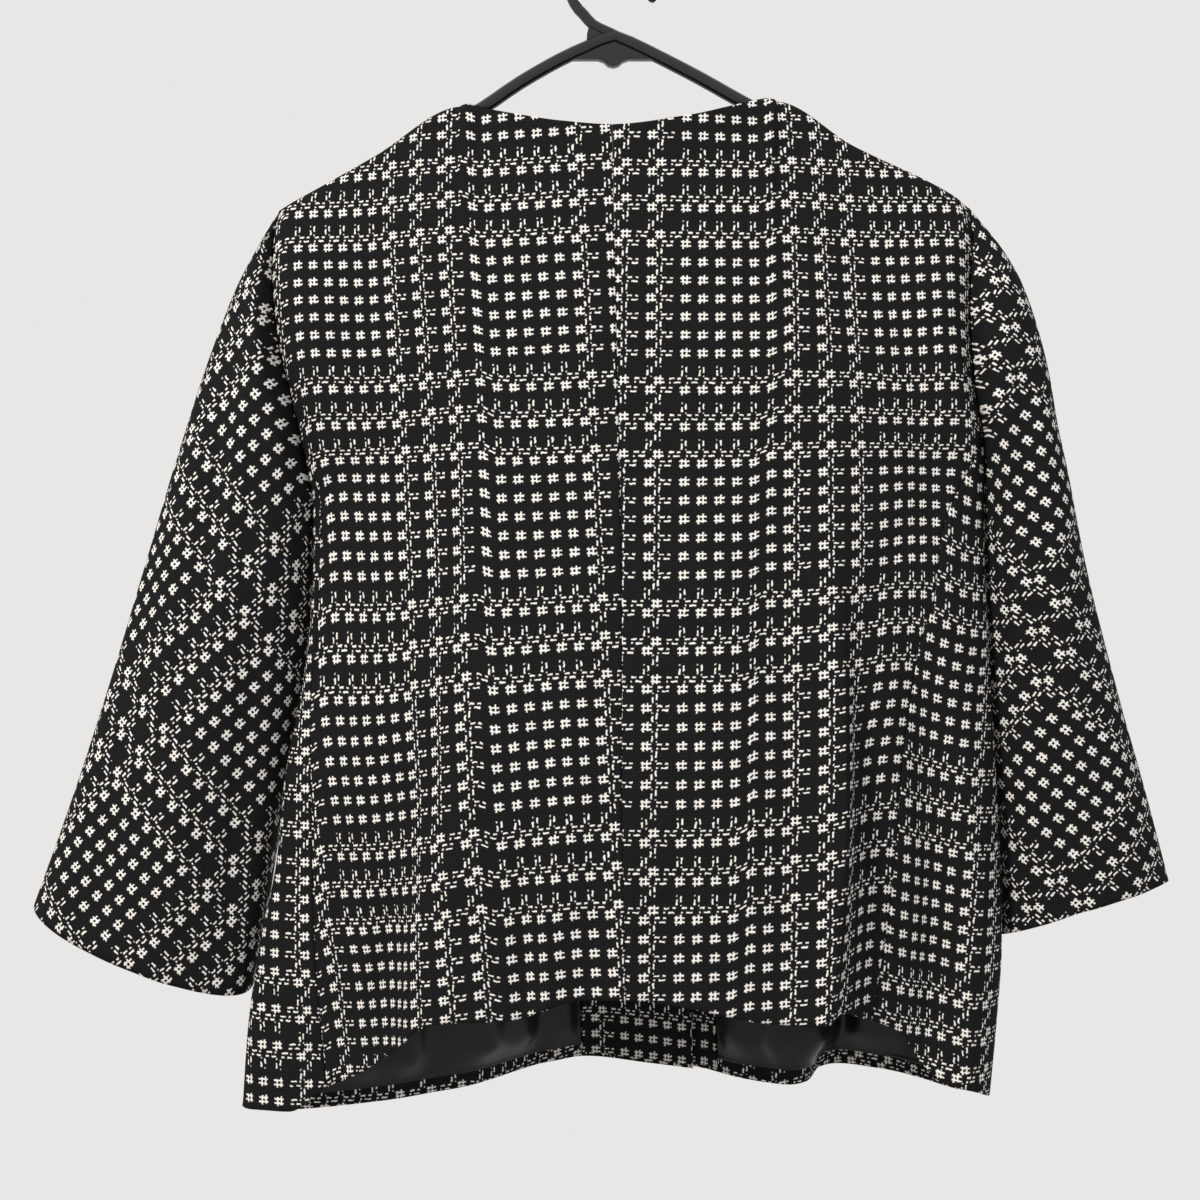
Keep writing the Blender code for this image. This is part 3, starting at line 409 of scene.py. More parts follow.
def creases(table, x, z):
    """Height of all the creases of a table over each point."""
    total = np.zeros_like(x)
    for x0, z0, x1, z1, width, height in table:
        span = (x1 - x0) ** 2 + (z1 - z0) ** 2
        along = ((x - x0) * (x1 - x0) + (z - z0) * (z1 - z0)) / span
        off = np.hypot(x - x0 - along * (x1 - x0), z - z0 - along * (z1 - z0))
        fade = smooth((along + 0.12) / 0.4) * smooth((1.25 - along) / 0.35)
        total += height * fade * np.exp(-(off / width) ** 2)
    return total


print("creases:", len(BACK_CREASES), "back,", len(FRONT_CREASES), "front,", len(LINING_CREASES), "lining")


# %% [markdown]
# ## Seam lines
#
# A seam is a line shared by two panels. Both panels ask the same function where it runs, and each keeps
# half a stitch gap to its own side.

# %% Seam lines
SHEET_GAP = 0.02         # the visible sheets all but touch at a seam
GAP_SHARE = SHEET_GAP / BODY_WIDTH
LEFT_UNDERARM = 0.289    # way down where the left side-back seam leaves the side edge
RIGHT_UNDERARM = 0.269   # way down where the right side-back seam leaves the armhole


def seam_line(table, side, front=False):
    """A seam as a function of the way down; side is -1 for the piece on its left, 1 on its right."""
    def find(v):
        return seam_share(table, v, front) + side * GAP_SHARE
    return find


def limit(value):
    """One of the two side edges."""
    return lambda v: np.full_like(v, value)


def back_left_edge(v):
    """The side edge down to the underarm, then the left side-back seam."""
    return np.where(v < LEFT_UNDERARM, 0.0, seam_share(LEFT_SIDE_BACK, v, False) + GAP_SHARE)


def back_right_edge(v):
    """The side edge down to the underarm, then the right side-back seam."""
    return np.where(v < RIGHT_UNDERARM, 1.0, seam_share(RIGHT_SIDE_BACK, v, False) - GAP_SHARE)


def front_line(offset):
    """A line beside the centre front."""
    return seam_line(tuple((z, x + offset) for z, x in FRONT_CENTRE), 0.0, True)


print("a seam's gap is", SHEET_GAP, "mm between the visible sheets")


# %% [markdown]
# ## Measuring along the cloth
#
# Flat cloth keeps its length when it folds. So a panel is measured along its own surface, across and down,
# and those lengths are what the check and the cut sizes are counted in. Blender's Unwrap would flatten a
# panel too, but it stretches what it can't flatten and wouldn't keep the check straight along a seam.

# %% Lengths along a grid
COLUMN_PITCH = 10.75     # spacing of the check's columns in the flat cloth
ROW_PITCH = 11.5         # spacing of its rows
REPEAT = 12.0            # columns or rows in one repeat
SHEET_WALL = 1.5         # thickness of the visible cloth


def unit(vectors):
    """The same directions, one long."""
    return vectors / np.maximum(np.linalg.norm(vectors, axis=-1, keepdims=True), 1e-9)


def surface_normals(points, reference):
    """Normals of a grid of points, turned the way the reference directions look."""
    across = np.gradient(points, axis=1)
    down = np.gradient(points, axis=0)
    normal = unit(np.cross(across, down))
    flip = np.where(np.sum(normal * reference, axis=-1, keepdims=True) < 0.0, -1.0, 1.0)
    return normal * flip


def arc_across(points, from_right=False):
    """Length along each row of points, from its left end or, as a negative length, from its right end."""
    step = np.linalg.norm(np.diff(points, axis=1), axis=-1)
    arc = np.concatenate([np.zeros((points.shape[0], 1)), np.cumsum(step, axis=1)], axis=1)
    return arc - arc[:, -1:] if from_right else arc


def arc_down(points):
    """Length down each column of points."""
    step = np.linalg.norm(np.diff(points, axis=0), axis=-1)
    return np.concatenate([np.zeros((1, points.shape[1])), np.cumsum(step, axis=0)], axis=0)


def grain(flat_x, flat_z, angle, zero_x, zero_z, turned=False):
    """Flat-cloth places as repeats of the check, with the grain leaning by an angle in degrees."""
    a = math.radians(angle)
    dx = flat_x - zero_x
    dz = flat_z - zero_z
    u = (math.cos(a) * dx + math.sin(a) * dz) / (COLUMN_PITCH * REPEAT)
    w = (-math.sin(a) * dx + math.cos(a) * dz) / (ROW_PITCH * REPEAT)
    return (-u, -w) if turned else (u, w)


print("one repeat of the check is", COLUMN_PITCH * REPEAT, "x", ROW_PITCH * REPEAT, "mm")


# %% [markdown]
# ## A sheet of cloth
#
# A sheet starts as a grid of points. Its UV map holds flat-cloth coordinates, counted in repeats of the
# check, so folds squeeze the pattern in view exactly as real folds do, and turning the coordinates turns
# the grain. A Cloth simulation could drape a flat panel instead, but it would settle into folds of its own.
# Solidify then gives the sheet its real thickness, and a sleeve's two long edges are merged first, so the
# tube is closed.

# %% Sheet maker
MERGE = 1e-5             # metres within which a tube's two long edges are one


def cloth(name, points, uv, mat, outward, closed=False, wall=SHEET_WALL):
    """A thin sheet from a grid of points in millimetres, walled inwards from them."""
    rows, cols = points.shape[:2]
    faces = []
    for i in range(rows - 1):
        for j in range(cols - 1):
            a = i * cols + j
            faces.append((a, a + 1, a + cols + 1, a + cols))
    mesh = bpy.data.meshes.new(name)
    mesh.from_pydata((points.reshape(-1, 3) * MM).tolist(), [], faces)
    layer = mesh.uv_layers.new(name="grain")
    corner = np.empty(len(mesh.loops), dtype=np.int32)
    mesh.loops.foreach_get("vertex_index", corner)
    flat = np.stack([uv[0].reshape(-1), uv[1].reshape(-1)], axis=-1)[corner]
    layer.data.foreach_set("uv", flat.astype(np.float32).reshape(-1))
    middle = len(mesh.polygons) // 2
    want = outward.reshape(-1, 3)[mesh.polygons[middle].vertices[0]]
    if mesh.polygons[middle].normal.dot(want.tolist()) < 0.0:
        mesh.flip_normals()
    obj = bpy.data.objects.new(name, mesh)
    bpy.context.scene.collection.objects.link(obj)
    mesh.materials.append(mat)
    mesh.shade_smooth()
    bpy.ops.object.select_all(action="DESELECT")
    obj.select_set(True)
    bpy.context.view_layer.objects.active = obj
    if closed:
        bpy.ops.object.mode_set(mode="EDIT")
        bpy.ops.mesh.select_all(action="SELECT")
        bpy.ops.mesh.remove_doubles(threshold=MERGE)
        bpy.ops.object.mode_set(mode="OBJECT")
    solid = obj.modifiers.new("wall", "SOLIDIFY")
    solid.thickness = wall * MM
    solid.offset = -1.0
    bpy.ops.object.modifier_apply(modifier=solid.name)
    one_diagonal = points[1:, 1:] - points[:-1, :-1]
    other_diagonal = points[1:, :-1] - points[:-1, 1:]
    return obj


def between(low, high, columns, rows, start=0.0, end=1.0):
    """Shares across and down for a panel between two lines, closer together at all its edges."""
    even = np.linspace(0.0, 1.0, columns)
    across = 0.55 * (0.5 - 0.5 * np.cos(math.pi * even)) + 0.45 * even
    even = np.linspace(0.0, 1.0, rows)
    down = start + (end - start) * (0.5 * (0.5 - 0.5 * np.cos(math.pi * even)) + 0.5 * even)
    v = down[:, None] + np.zeros((rows, columns))
    low_s = low(down)
    high_s = high(down)
    s = low_s[:, None] + (high_s - low_s)[:, None] * across[None, :]
    return s, v


# %% [markdown]
# ## Arithmetic for a shader
#
# A woven check is a rule about which yarn lies on top, and a rule is arithmetic. Math nodes can do it, but
# dozens of them are hard to place and link by hand. The class below writes a Math node for each sum, so a
# pattern can be written as ordinary arithmetic.

# %% Arithmetic that writes Math nodes
class Number:
    """A value inside a material's node tree."""

    def __init__(self, tree, value):
        self.tree = tree
        self.value = value

    def math(self, operation, *others):
        """A Math node fed with this value and the others."""
        node = self.tree.nodes.new("ShaderNodeMath")
        node.operation = operation
        for socket, item in zip(node.inputs, (self,) + others):
            item = item.value if isinstance(item, Number) else item
            if isinstance(item, (int, float)):
                socket.default_value = item
            else:
                self.tree.links.new(item, socket)
        return Number(self.tree, node.outputs[0])

    def __add__(self, other):
        return self.math("ADD", other)

    def __sub__(self, other):
        return self.math("SUBTRACT", other)

    def __mul__(self, other):
        return self.math("MULTIPLY", other)

    def larger(self, other):
        return self.math("MAXIMUM", other)

    def invert(self):
        return Number(self.tree, 1.0).math("SUBTRACT", self)

    def size(self):
        return self.math("ABSOLUTE")

    def above(self, other):
        return self.math("GREATER_THAN", other)


# %% [markdown]
# ## The check's rule
#
# The tweed is black with pairs of off-white yarns. In one repeat of twelve, the columns 0 to 6, 8 and 10
# carry a white pair, and three more pairs stand half a step on from 6, 8 and 10; the rows follow the same
# rule. A yarn on top of the weave shows as a short dash with soft ends.

# %% Dashes of yarn
def bar(along, across, half_length, half_width, soft=0.035):
    """1 inside a dash of yarn, falling softly to 0 at its edges."""
    if isinstance(half_length, float):
        half_length = Number(along.tree, half_length)
    sides = Number(across.tree, half_width) - across.size()
    inside = (half_length - along.size()).math("MINIMUM", sides)
    return inside.math("MULTIPLY", 1.0 / soft).math("ADD", 0.5).math("MINIMUM", 1.0).math("MAXIMUM", 0.0)


def white_yarn(index, half):
    """Whether a column or row of the check carries white, for whole steps or half steps."""
    place = index.math("FLOORED_MODULO", REPEAT)
    odd = (place + 0.25).math("FLOORED_MODULO", 2.0).above(1.0)
    high = place.above(5.5 if half else 6.5)
    return high * odd.invert() if half else (high * odd).invert()


# %% [markdown]
# ## Crossings
#
# Where a white column crosses a white row, the four yarns make a small window. Where only one of them is
# there, its two yarns surface as short staggered dashes. An image texture would do, but the rule is short,
# so the shader works it out from the grain map, and the yarns stay sharp at any distance.

# %% Crossings of the yarns
BAR = 0.048              # half the thickness of a white warp yarn, in steps of the check
PICK = 0.045             # half the thickness of a white weft yarn
SPREAD = 0.12            # how far each warp yarn of a pair lies from the middle of its column
PICK_SPREAD = 0.115      # the same for the weft yarns where they cross a white column
LONE_PICK_SPREAD = 0.11  # and where they don't
PICK_SHIFT = 0.05        # how far the weft's dashes at a crossing are off its middle
DOT_PLACE = 0.26         # how far off a lone column's yarns surface again
DOT = 0.035              # half the size of that dot


def cell(u, w, shift):
    """The white of one family of crossings, whole steps or half steps."""
    column = (u - shift).math("ROUND")
    row = (w - shift).math("ROUND")
    du = u - shift - column
    dw = w - shift - row
    has_column = white_yarn(column, shift > 0.0)
    has_row = white_yarn(row, shift > 0.0)
    both = has_column * has_row
    half_length = both * 0.09 + 0.15
    stagger = both.math("MULTIPLY", -0.06) + 0.09
    left = bar(dw + stagger, du + SPREAD, half_length, BAR)
    right = bar(dw - stagger, du - SPREAD, half_length, BAR)
    upper_dot = bar(dw - DOT_PLACE, du + SPREAD, DOT, DOT)
    lower_dot = bar(dw + DOT_PLACE, du - SPREAD, DOT, DOT)
    dots = upper_dot.larger(lower_dot) * both.invert()
    upright = left.larger(right).larger(dots) * has_column
    upper = bar(du - PICK_SHIFT, dw - PICK_SPREAD, 0.29, PICK)
    lower = bar(du - PICK_SHIFT, dw + PICK_SPREAD, 0.29, PICK)
    crossing = upper.larger(lower) * both
    upper_pick = dw - LONE_PICK_SPREAD
    lower_pick = dw + LONE_PICK_SPREAD
    upper = bar(du + 0.20, upper_pick, 0.14, PICK).larger(bar(du - 0.22, upper_pick, 0.09, PICK))
    lower = bar(du + 0.32, lower_pick, 0.05, PICK).larger(bar(du - 0.09, lower_pick, 0.18, PICK))
    lone_row = upper.larger(lower) * has_row * has_column.invert()
    return upright.larger(crossing).larger(lone_row)


# %% [markdown]
# ## The tweed
#
# Wool tweed is matt, so it has almost no specular light of its own. The grain map feeds the check, a slow
# noise makes the yarns wander a little, a fine noise is the fuzz, and the two together with the white yarns
# drive a bump, since yarns stand up from the ground. Modelled yarns would take millions of faces for the
# same look.

# %% The tweed's material
YARN_STRAY = 0.16        # how far the yarns wander, in steps of the check
RIBS = 6.0               # fine ribs and picks of the black ground in one step


def tweed_material(name):
    """Black tweed with the off-white check, woven on the grain map."""
    mat = bpy.data.materials.new(name)
    mat.use_nodes = True
    tree = mat.node_tree
    shader = tree.nodes["Principled BSDF"]
    uv = tree.nodes.new("ShaderNodeUVMap")
    uv.uv_map = "grain"
    wobble = tree.nodes.new("ShaderNodeTexNoise")
    wobble.inputs["Scale"].default_value = 55.0
    wobble.inputs["Detail"].default_value = 2.0
    tree.links.new(uv.outputs["UV"], wobble.inputs["Vector"])
    split = tree.nodes.new("ShaderNodeSeparateXYZ")
    tree.links.new(uv.outputs["UV"], split.inputs[0])
    stray = (Number(tree, wobble.outputs["Fac"]) - 0.5) * YARN_STRAY
    u = Number(tree, split.outputs["X"]) * REPEAT + stray
    w = Number(tree, split.outputs["Y"]) * REPEAT + stray
    white = cell(u, w, 0.0).larger(cell(u, w, 0.5))

    fibre = tree.nodes.new("ShaderNodeTexNoise")
    fibre.inputs["Scale"].default_value = 420.0
    fibre.inputs["Detail"].default_value = 3.0
    tree.links.new(uv.outputs["UV"], fibre.inputs["Vector"])
    fuzz = Number(tree, fibre.outputs["Fac"])
    ribs = (u * RIBS).math("FLOORED_MODULO", 1.0) - 0.5
    picks = (w * RIBS).math("FLOORED_MODULO", 1.0) - 0.5
    ground = (ribs * picks).size() * 2.0 + fuzz * 0.6

    black = tree.nodes.new("ShaderNodeMix")
    black.data_type = "RGBA"
    black.inputs[6].default_value = (0.0022, 0.0022, 0.0026, 1.0)
    black.inputs[7].default_value = (0.013, 0.013, 0.014, 1.0)
    tree.links.new(ground.value, black.inputs[0])
    colour = tree.nodes.new("ShaderNodeMix")
    colour.data_type = "RGBA"
    colour.inputs[7].default_value = (0.64, 0.62, 0.59, 1.0)
    amount = white * (fuzz * 0.7 + 0.62).math("MINIMUM", 1.0)
    tree.links.new(amount.value, colour.inputs[0])
    tree.links.new(black.outputs[2], colour.inputs[6])
    tree.links.new(colour.outputs[2], shader.inputs["Base Color"])
    shader.inputs["Roughness"].default_value = 0.92
    shader.inputs["Specular IOR Level"].default_value = 0.06

    bump = tree.nodes.new("ShaderNodeBump")
    bump.inputs["Strength"].default_value = 0.7
    bump.inputs["Distance"].default_value = 0.0007
    tree.links.new((white + ground * 0.3 + fuzz * 0.3).value, bump.inputs["Height"])
    tree.links.new(bump.outputs["Normal"], shader.inputs["Normal"])
    return mat


tweed = tweed_material("tweed")
print("tweed nodes", len(tweed.node_tree.nodes))


# %% [markdown]
# ## Satin and plastic
#
# Satin is smooth and dark, so nearly all that is seen of it is the light lying along its folds. The hanger
# is glossy black plastic with the slight waviness of a moulding.

# %% Satin and plastic materials
def plain_material(name, colour, roughness, bump_scale, bump_strength, shine):
    """A plain dark finish with a slight unevenness of its surface."""
    mat = bpy.data.materials.new(name)
    mat.use_nodes = True
    tree = mat.node_tree
    shader = tree.nodes["Principled BSDF"]
    shader.inputs["Base Color"].default_value = (*colour, 1.0)
    shader.inputs["Roughness"].default_value = roughness
    shader.inputs["Specular IOR Level"].default_value = shine
    place = tree.nodes.new("ShaderNodeTexCoord")
    noise = tree.nodes.new("ShaderNodeTexNoise")
    noise.inputs["Scale"].default_value = bump_scale
    noise.inputs["Detail"].default_value = 2.0
    tree.links.new(place.outputs["Object"], noise.inputs["Vector"])
    bump = tree.nodes.new("ShaderNodeBump")
    bump.inputs["Strength"].default_value = bump_strength
    bump.inputs["Distance"].default_value = 0.001
    tree.links.new(noise.outputs["Fac"], bump.inputs["Height"])
    tree.links.new(bump.outputs["Normal"], shader.inputs["Normal"])
    return mat


satin = plain_material("satin", (0.0035, 0.0035, 0.005), roughness=0.33, bump_scale=60.0, bump_strength=0.25,
                       shine=0.24)
plastic = plain_material("plastic", (0.006, 0.006, 0.007), roughness=0.17, bump_scale=90.0,
                         bump_strength=0.12, shine=0.5)
print("finishes:", tweed.name, satin.name, plastic.name)


# %% [markdown]
# ## Panels
#
# Each panel takes its points from the body's surface, adds the creases, and rolls its seam edges in, which
# draws the dark line of a pressed seam. Hems are rounded the same way. A Bevel would round them too, but it
# would also round the edges that are sewn flat.

# %% Panel maker
SEAM_ROLL = 0.9          # how deep a seam's edge is rolled in
SEAM_REACH = 2.6         # how far in from the edge the roll starts
HEM_ROLL = 1.1           # how deep the turned edge of a hem is rounded
HEM_REACH = 4.0          # how far above the hem the rounding starts
CREASE_START = 2.0       # how far in from a side edge the creases start
CREASE_REACH = 22.0      # how far they take to reach their full height
UNEVEN = 0.35            # the cloth's small general unevenness


def panel_points(s, v, front, lapped, crease_table, skip=0.0, seams=(True, True)):
    """Points of a panel with its creases, moved in by skip, and the way they face."""
    base = body(s, v, front, lapped)
    facing = np.array([0.0, 1.0 if front else -1.0, 0.0])
    lift = creases(crease_table, base[..., 0], base[..., 2])
    side = np.minimum(s, 1.0 - s) * BODY_WIDTH
    lift = lift * smooth((side - CREASE_START) / CREASE_REACH)
    gap_left = arc_across(base)
    gap_right = -arc_across(base, True)
    for wanted, gap in zip(seams, (gap_left, gap_right)):
        if wanted:
            lift = lift - SEAM_ROLL * (1.0 - np.clip(gap / SEAM_REACH, 0.0, 1.0)) ** 2
    down = arc_down(base)
    lift = lift - HEM_ROLL * (1.0 - np.clip((down[-1:] - down) / HEM_REACH, 0.0, 1.0)) ** 2
    x, z = base[..., 0], base[..., 2]
    lift = lift + UNEVEN * np.sin(x / 17.0 + z / 41.0) * np.sin(z / 29.0 + 1.3)
    points = base + lift[..., None] * facing
    normal = surface_normals(points, facing)
    return points - normal * skip, normal


# %% [markdown]
# ## The back
#
# The back is four pieces with a seam at the centre and one near each side. The grain angles differ because
# the two halves hang at their own slight lean, and the left side-back panel was cut the other way up, so
# its check runs backwards. The rows of the left half also sag towards the side, where the cloth has
# dropped.

# %% Back panels
BACK_ZERO_X = 44.7       # where column 0 crosses the top of the back
BACK_ZERO_Z = -264.9     # height of row 0 at the centre
LEFT_DROOP = 17.0        # how far the rows sag towards the lower left side
LEFT_SHEAR = 0.08        # how much the columns lean in towards the left side-back seam
LEFT_SHIFT = 128.8       # how far the left half's columns are set off from the right half's

s, v = between(back_left_edge, seam_line(CENTRE_BACK, -1.0), columns=110, rows=190)
points, facing = panel_points(s, v, False, False, BACK_CREASES)
flat_x = points[:, -1:, 0] + arc_across(points, True)
flat_z = points[:1, :, 2] - arc_down(points)
low = smooth((-330.0 - points[..., 2]) / 230.0)
flat_z = flat_z + LEFT_DROOP * smooth((-20.0 - points[..., 0]) / 170.0) * low
leans = smooth((-110.0 - points[..., 0]) / 75.0)
flat_x = flat_x - LEFT_SHEAR * np.maximum(-480.0 - points[..., 2], 0.0) * leans
woven = grain(flat_x, flat_z, angle=2.9, zero_x=BACK_ZERO_X - LEFT_SHIFT, zero_z=BACK_ZERO_Z)
back_left = cloth("back_left_panel", points, woven, tweed, facing)

s, v = between(seam_line(CENTRE_BACK, 1.0), back_right_edge, columns=120, rows=190)
points, facing = panel_points(s, v, False, False, BACK_CREASES)
flat_x = points[:, :1, 0] + arc_across(points)
flat_z = points[:1, :, 2] - arc_down(points)
woven = grain(flat_x, flat_z, angle=-0.8, zero_x=BACK_ZERO_X, zero_z=BACK_ZERO_Z)
back_right = cloth("back_right_panel", points, woven, tweed, facing)

# %% [markdown]
# ## The side-back panels
#
# A narrow panel shows beside each side-back seam. It starts at the underarm, where the seam leaves the
# armhole or the side, and its outer edge is the side edge itself, so only its seam side is rolled in.

# %% Side-back panels
s, v = between(limit(0.0), seam_line(LEFT_SIDE_BACK, -1.0), columns=34, rows=130, start=LEFT_UNDERARM)
points, facing = panel_points(s, v, False, False, BACK_CREASES, seams=(False, True))
flat_x = points[:, -1:, 0] + arc_across(points, True)
woven = grain(flat_x, points[..., 2], angle=0.0, zero_x=-213.0, zero_z=-580.0, turned=True)
side_back_left = cloth("side_back_left_panel", points, woven, tweed, facing)

s, v = between(seam_line(RIGHT_SIDE_BACK, 1.0), limit(1.0), columns=44, rows=130, start=RIGHT_UNDERARM)
points, facing = panel_points(s, v, False, False, BACK_CREASES, seams=(True, False))
flat_x = points[:, :1, 0] + arc_across(points)
flat_z = points[:1, :, 2] - arc_down(points)
woven = grain(flat_x, flat_z, angle=-2.0, zero_x=170.0, zero_z=-643.0)
side_back_right = cloth("side_back_right_panel", points, woven, tweed, facing)

# %% [markdown]
# ## The fronts
#
# Two plain fronts lap right over left at the centre. They are cut from the same surface as the back, with
# its own hem line: the fronts hang a little lower and stand out further, so their inner faces show below
# the back.

# %% Fronts
FACING_PAST = 18.0       # how far a facing reaches past the overlap

left_free = front_line(OVERLAP_HALF)
right_free = front_line(-OVERLAP_HALF)
facing_left_line = front_line(-OVERLAP_HALF - FACING_PAST)
facing_right_line = front_line(OVERLAP_HALF + FACING_PAST)

s, v = between(limit(0.0), left_free, columns=120, rows=190)
points, facing = panel_points(s, v, True, False, FRONT_CREASES, seams=(False, False))
flat_x = points[:, -1:, 0] + arc_across(points, True)
flat_z = points[:1, :, 2] - arc_down(points)
woven = grain(flat_x, flat_z, angle=1.5, zero_x=0.0, zero_z=BACK_ZERO_Z)
front_left = cloth("left_front", points, woven, tweed, facing)

s, v = between(right_free, limit(1.0), columns=120, rows=190)
points, facing = panel_points(s, v, True, True, FRONT_CREASES, seams=(False, False))
flat_x = points[:, :1, 0] + arc_across(points)
flat_z = points[:1, :, 2] - arc_down(points)
woven = grain(flat_x, flat_z, angle=-1.0, zero_x=30.0, zero_z=BACK_ZERO_Z)
front_right = cloth("right_front", points, woven, tweed, facing)

# %% [markdown]
# ## The facings
#
# The fronts are faced with the same tweed beside their free edges. A facing follows its front a wall's
# thickness further in, so it is the same stretch of surface, moved along its own normals. An offset by
# Solidify would do, but the facing needs its own grain.

# %% Facings
INSIDE = TWEED + SEAM    # how far inside the front's face its facing lies
FACING_TOP = 0.01        # way down where a facing starts
FACING_END = 0.996       # and where it ends, just above the hem
FACING_WALL = 1.0        # its thickness

s, v = between(facing_left_line, left_free, columns=40, rows=170, start=FACING_TOP, end=FACING_END)
points, facing = panel_points(s, v, True, False, FRONT_CREASES, INSIDE, (True, False))
flat_x = points[:, -1:, 0] + arc_across(points, True)
woven = grain(flat_x, points[..., 2], angle=-0.5, zero_x=6.0, zero_z=-643.0)
facing_left = cloth("left_facing", points, woven, tweed, facing, wall=FACING_WALL)

s, v = between(right_free, facing_right_line, columns=40, rows=170, start=FACING_TOP, end=FACING_END)
points, facing = panel_points(s, v, True, True, FRONT_CREASES, INSIDE, (False, True))
flat_x = points[:, :1, 0] + arc_across(points)
woven = grain(flat_x, points[..., 2], angle=0.5, zero_x=60.0, zero_z=-643.0)
facing_right = cloth("right_facing", points, woven, tweed, facing, wall=FACING_WALL)

# %% [markdown]
# ## The lining
#
# Beyond the facings the fronts are lined with satin. It is attached a little above the hem, so a band of
# turned-up tweed shows under it, and it is cut a little full, so it hangs in small folds of its own. Those
# folds are what a dark satin is seen by.

# %% Lining
TURN_UP = 0.985          # way down where the lining is caught to the turned-up hem
LINING_TOP = 0.44        # way down where the lining that shows starts
LINING_WALL = 0.4        # thickness of the satin
LINING_EASE = 2.4        # how far the lining hangs off the front between its edges
LINING_LEAST = 0.3       # the least it hangs off
CAUGHT_REACH = 12.0      # how far in from its side edges it hangs free
HEM_SHARE = 0.03         # share of the way above its lower edge where it hangs free
LEFT_START = 0.03        # share across where the left lining starts
RIGHT_END = 0.975        # share across where the right lining ends


def lining(name, low, high, lapped):
    """A satin lining that hangs in its own small folds, free of the front except at its edges."""
    s, v = between(low, high, columns=90, rows=110, start=LINING_TOP, end=TURN_UP)
    points, facing = panel_points(s, v, True, lapped, FRONT_CREASES, INSIDE, (False, False))
    gap = np.minimum(arc_across(points), -arc_across(points, True))
    room = smooth(gap / CAUGHT_REACH) * smooth((TURN_UP - v) / HEM_SHARE)
    folds = LINING_EASE + creases(LINING_CREASES, points[..., 0], points[..., 2])
    points = points - facing * (np.maximum(folds, LINING_LEAST) * room)[..., None]
    woven = grain(points[..., 0], points[..., 2], angle=0.0, zero_x=0.0, zero_z=0.0)
    return cloth(name, points, woven, satin, facing, wall=LINING_WALL)


left_inner = tuple((z, x - OVERLAP_HALF - FACING_PAST) for z, x in FRONT_CENTRE)
right_inner = tuple((z, x + OVERLAP_HALF + FACING_PAST) for z, x in FRONT_CENTRE)
lining_left = lining("left_lining", limit(LEFT_START), seam_line(left_inner, -1.0, True), False)
lining_right = lining("right_lining", seam_line(right_inner, 1.0, True), limit(RIGHT_END), True)

# %% [markdown]
# ## Sleeves
#
# A sleeve is a tube that leaves the armhole's own ring. Its cloth is cut on the bias, so the check runs as
# diagonals; its seam is under the arm, where the tube's grid is joined.

# %% Sleeves
SLEEVE_ROWS = 170        # rings of points along a sleeve
AROUND = 144             # points round it
ROW_GATHER = 1.15        # how much closer the rings are near the armhole
TUCK = 4.5               # how far a sleeve's inner edge reaches in over the body's side
TUCK_FORWARD = 8.0       # how far that edge lies further forward, clear of the side
HEAD_BLEND = 0.12        # share of the way round over which the front's check meets the back's


def sleeve(name, table, left, angle, crease_table):
    """One sleeve, with its creases, its inner edge tucked in and its check cut on the bias."""
    t = np.linspace(0.0, 1.0, SLEEVE_ROWS) ** ROW_GATHER
    phi = np.linspace(-math.pi, math.pi, AROUND)
    t_grid = t[:, None] + np.zeros((SLEEVE_ROWS, AROUND))
    p_grid = phi[None, :] + np.zeros((SLEEVE_ROWS, AROUND))
    points = sleeve_point(table, t_grid, p_grid, left)
    centre = points.mean(axis=1, keepdims=True)
    facing = surface_normals(points, points - centre)
    lift = creases(crease_table, points[..., 0], points[..., 2])
    side = np.abs(np.sin(p_grid))
    lift = lift * smooth(side / 0.5) * smooth(t_grid / 0.12)
    points = points + facing * lift[..., None]
    inner = np.clip(-np.cos(p_grid), 0.0, 1.0) ** 3
    inner = inner * smooth(t_grid / 0.06) * smooth((0.85 - t_grid) / 0.3)
    points[..., 0] += inner * (TUCK if left else -TUCK)
    points[..., 1] += inner * TUCK_FORWARD
    points[:, -1] = points[:, 0]
    shoulder = points[0].mean(axis=0)
    cuff = points[-1].mean(axis=0)
    lean = math.atan2(cuff[0] - shoulder[0], shoulder[2] - cuff[2])
    across = points[..., 0] * math.cos(lean) + points[..., 2] * math.sin(lean)
    along = points[..., 2] * math.cos(lean) - points[..., 0] * math.sin(lean)
    steps = np.hypot(np.diff(across, axis=1), np.diff(points[..., 1], axis=1))
    arc = np.concatenate([np.zeros((SLEEVE_ROWS, 1)), np.cumsum(steps, axis=1)], axis=1)
    back = 3 * AROUND // 4
    way = np.sign(across[:, back + 1:back + 2] - across[:, back - 1:back])
    away = (arc - arc[:, back:back + 1]) * way
    away = away + across[:, back:back + 1]
    front = AROUND // 4
    outer = AROUND // 2
    own = (arc - arc[:, front:front + 1]) * way - across[:, front:front + 1]
    own = own + (away[-1, outer] - own[-1, outer])
    share = smooth((outer - np.arange(AROUND)) / (HEAD_BLEND * AROUND))
    apart = np.abs(own - away)[:, outer].max()
    print(name, "front and back measures differ by up to", round(float(apart), 1), "mm at the outer edge")
    away = away * (1.0 - share) + own * share
    flat_x = away * math.cos(lean) - along * math.sin(lean)
    flat_z = along * math.cos(lean) + away * math.sin(lean)
    woven = grain(flat_x, flat_z, angle, zero_x=0.0, zero_z=0.0)
    return cloth(name, points, woven, tweed, facing, closed=True)


sleeve_left = sleeve("left_sleeve", LEFT_SLEEVE, True, angle=40.0, crease_table=LEFT_SLEEVE_CREASES)
sleeve_right = sleeve("right_sleeve", RIGHT_SLEEVE, False, angle=-38.0, crease_table=RIGHT_SLEEVE_CREASES)

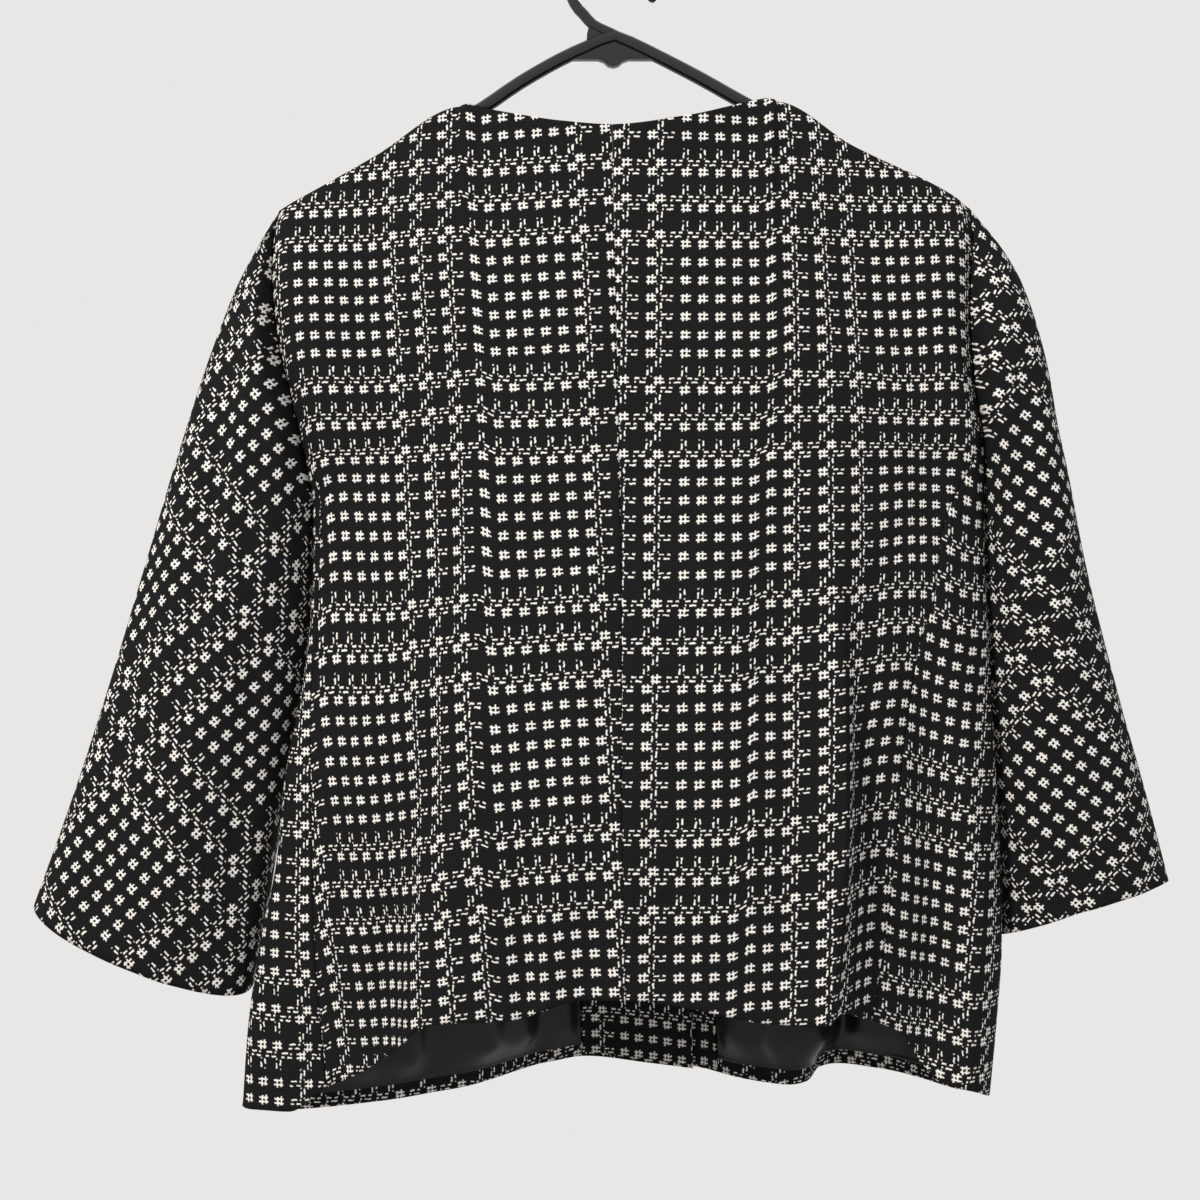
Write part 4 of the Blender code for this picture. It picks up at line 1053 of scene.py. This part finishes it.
# %% [markdown]
# ## What each piece stands for
#
# Every sheet is listed with the solid it replaces and the finish it takes, and that solid is hidden. The
# hanger's own solid already has its true shape, so it stays and only gets its plastic.

# %% Ride and replace
SHEETS = ((back_left, "back_left", "tweed"), (back_right, "back_right", "tweed"),
          (side_back_left, "side_back_left", "tweed"), (side_back_right, "side_back_right", "tweed"),
          (front_left, "front_left", "tweed"), (front_right, "front_right", "tweed"),
          (sleeve_left, "sleeve_left", "tweed"), (sleeve_right, "sleeve_right", "tweed"),
          (facing_left, "facing_left", "tweed"), (facing_right, "facing_right", "tweed"),
          (lining_left, "lining_left", "satin"), (lining_right, "lining_right", "satin"))
for piece, node, slot in SHEETS:
    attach(piece, "root")
    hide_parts(node)

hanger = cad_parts["hanger"]
hanger.data.materials.clear()
hanger.data.materials.append(plastic)
print("sheets:", len(SHEETS), "and the hanger's own solid")

# %% [markdown]
# ## The room
#
# A pale, even surround shows dark cloth best, because its outline stays clear. The floor lies well below
# the hem and only returns a little light upwards.

# %% Room and floor
world = bpy.data.worlds.new("pale_room")
world.use_nodes = True
world.node_tree.nodes["Background"].inputs["Color"].default_value = (0.88, 0.87, 0.86, 1.0)
world.node_tree.nodes["Background"].inputs["Strength"].default_value = 0.92
bpy.context.scene.world = world
bpy.context.scene.view_settings.view_transform = "Standard"

bpy.ops.mesh.primitive_cylinder_add(vertices=96, radius=1.45, depth=0.02, location=(0.0, 0.0, -1.42))
floor = bpy.context.object
floor.name = "floor"
pale = bpy.data.materials.new("pale_floor")
pale.use_nodes = True
pale.node_tree.nodes["Principled BSDF"].inputs["Base Color"].default_value = (0.5, 0.49, 0.48, 1.0)
pale.node_tree.nodes["Principled BSDF"].inputs["Roughness"].default_value = 0.8
floor.data.materials.append(pale)
print("floor at", floor.location.z, "m")

# %% [markdown]
# ## Lights
#
# Three discs: a warm key above on the left, which models the folds, a weaker cool one on the right, which
# keeps the shaded side readable, and one from the far side for the views from there. Large discs give soft
# edges to shadows.

# %% Lights
MIDDLE = (0.0, 0.0, -0.4)    # what the lights look at


def area_light(name, place, size, power, colour):
    """A disc of light at a place, turned towards the jacket's middle."""
    data = bpy.data.lights.new(name, "AREA")
    data.shape = "DISK"
    data.size = size
    data.energy = power
    data.color = colour
    light = bpy.data.objects.new(name, data)
    light.location = place
    aim = np.array(MIDDLE) - np.array(place)
    tilt = math.acos(-aim[2] / np.linalg.norm(aim))
    light.rotation_euler = (tilt, 0.0, math.atan2(aim[0], -aim[1]) + math.pi)
    bpy.context.scene.collection.objects.link(light)
    return light


key = area_light("key", (-1.3, -1.7, 0.9), size=0.7, power=80.0, colour=(1.0, 0.96, 0.9))
fill = area_light("fill", (1.7, -1.2, 0.1), size=1.2, power=10.0, colour=(0.9, 0.95, 1.0))
rear = area_light("rear", (0.6, 1.8, 0.8), size=1.2, power=26.0, colour=(1.0, 0.98, 0.95))
print("lights, W:", key.data.energy, fill.data.energy, rear.data.energy)

# %% [markdown]
# ## The camera
#
# It stands level with the middle of the back, about a metre away, and looks straight at it. The height and
# the lens were set together, so the cuffs and the hem come where they should and upright lines stay
# upright.

# %% Camera
lens = bpy.data.cameras.new("camera")
lens.lens = 45.8
camera = bpy.data.objects.new("camera", lens)
camera.location = (-0.0076, -0.970, -0.4163)
camera.rotation_euler = (0.5 * math.pi, 0.0, 0.0)
bpy.context.scene.collection.objects.link(camera)
bpy.context.scene.camera = camera
print("camera", round(-camera.location.y, 3), "m away, lens", lens.lens, "mm")
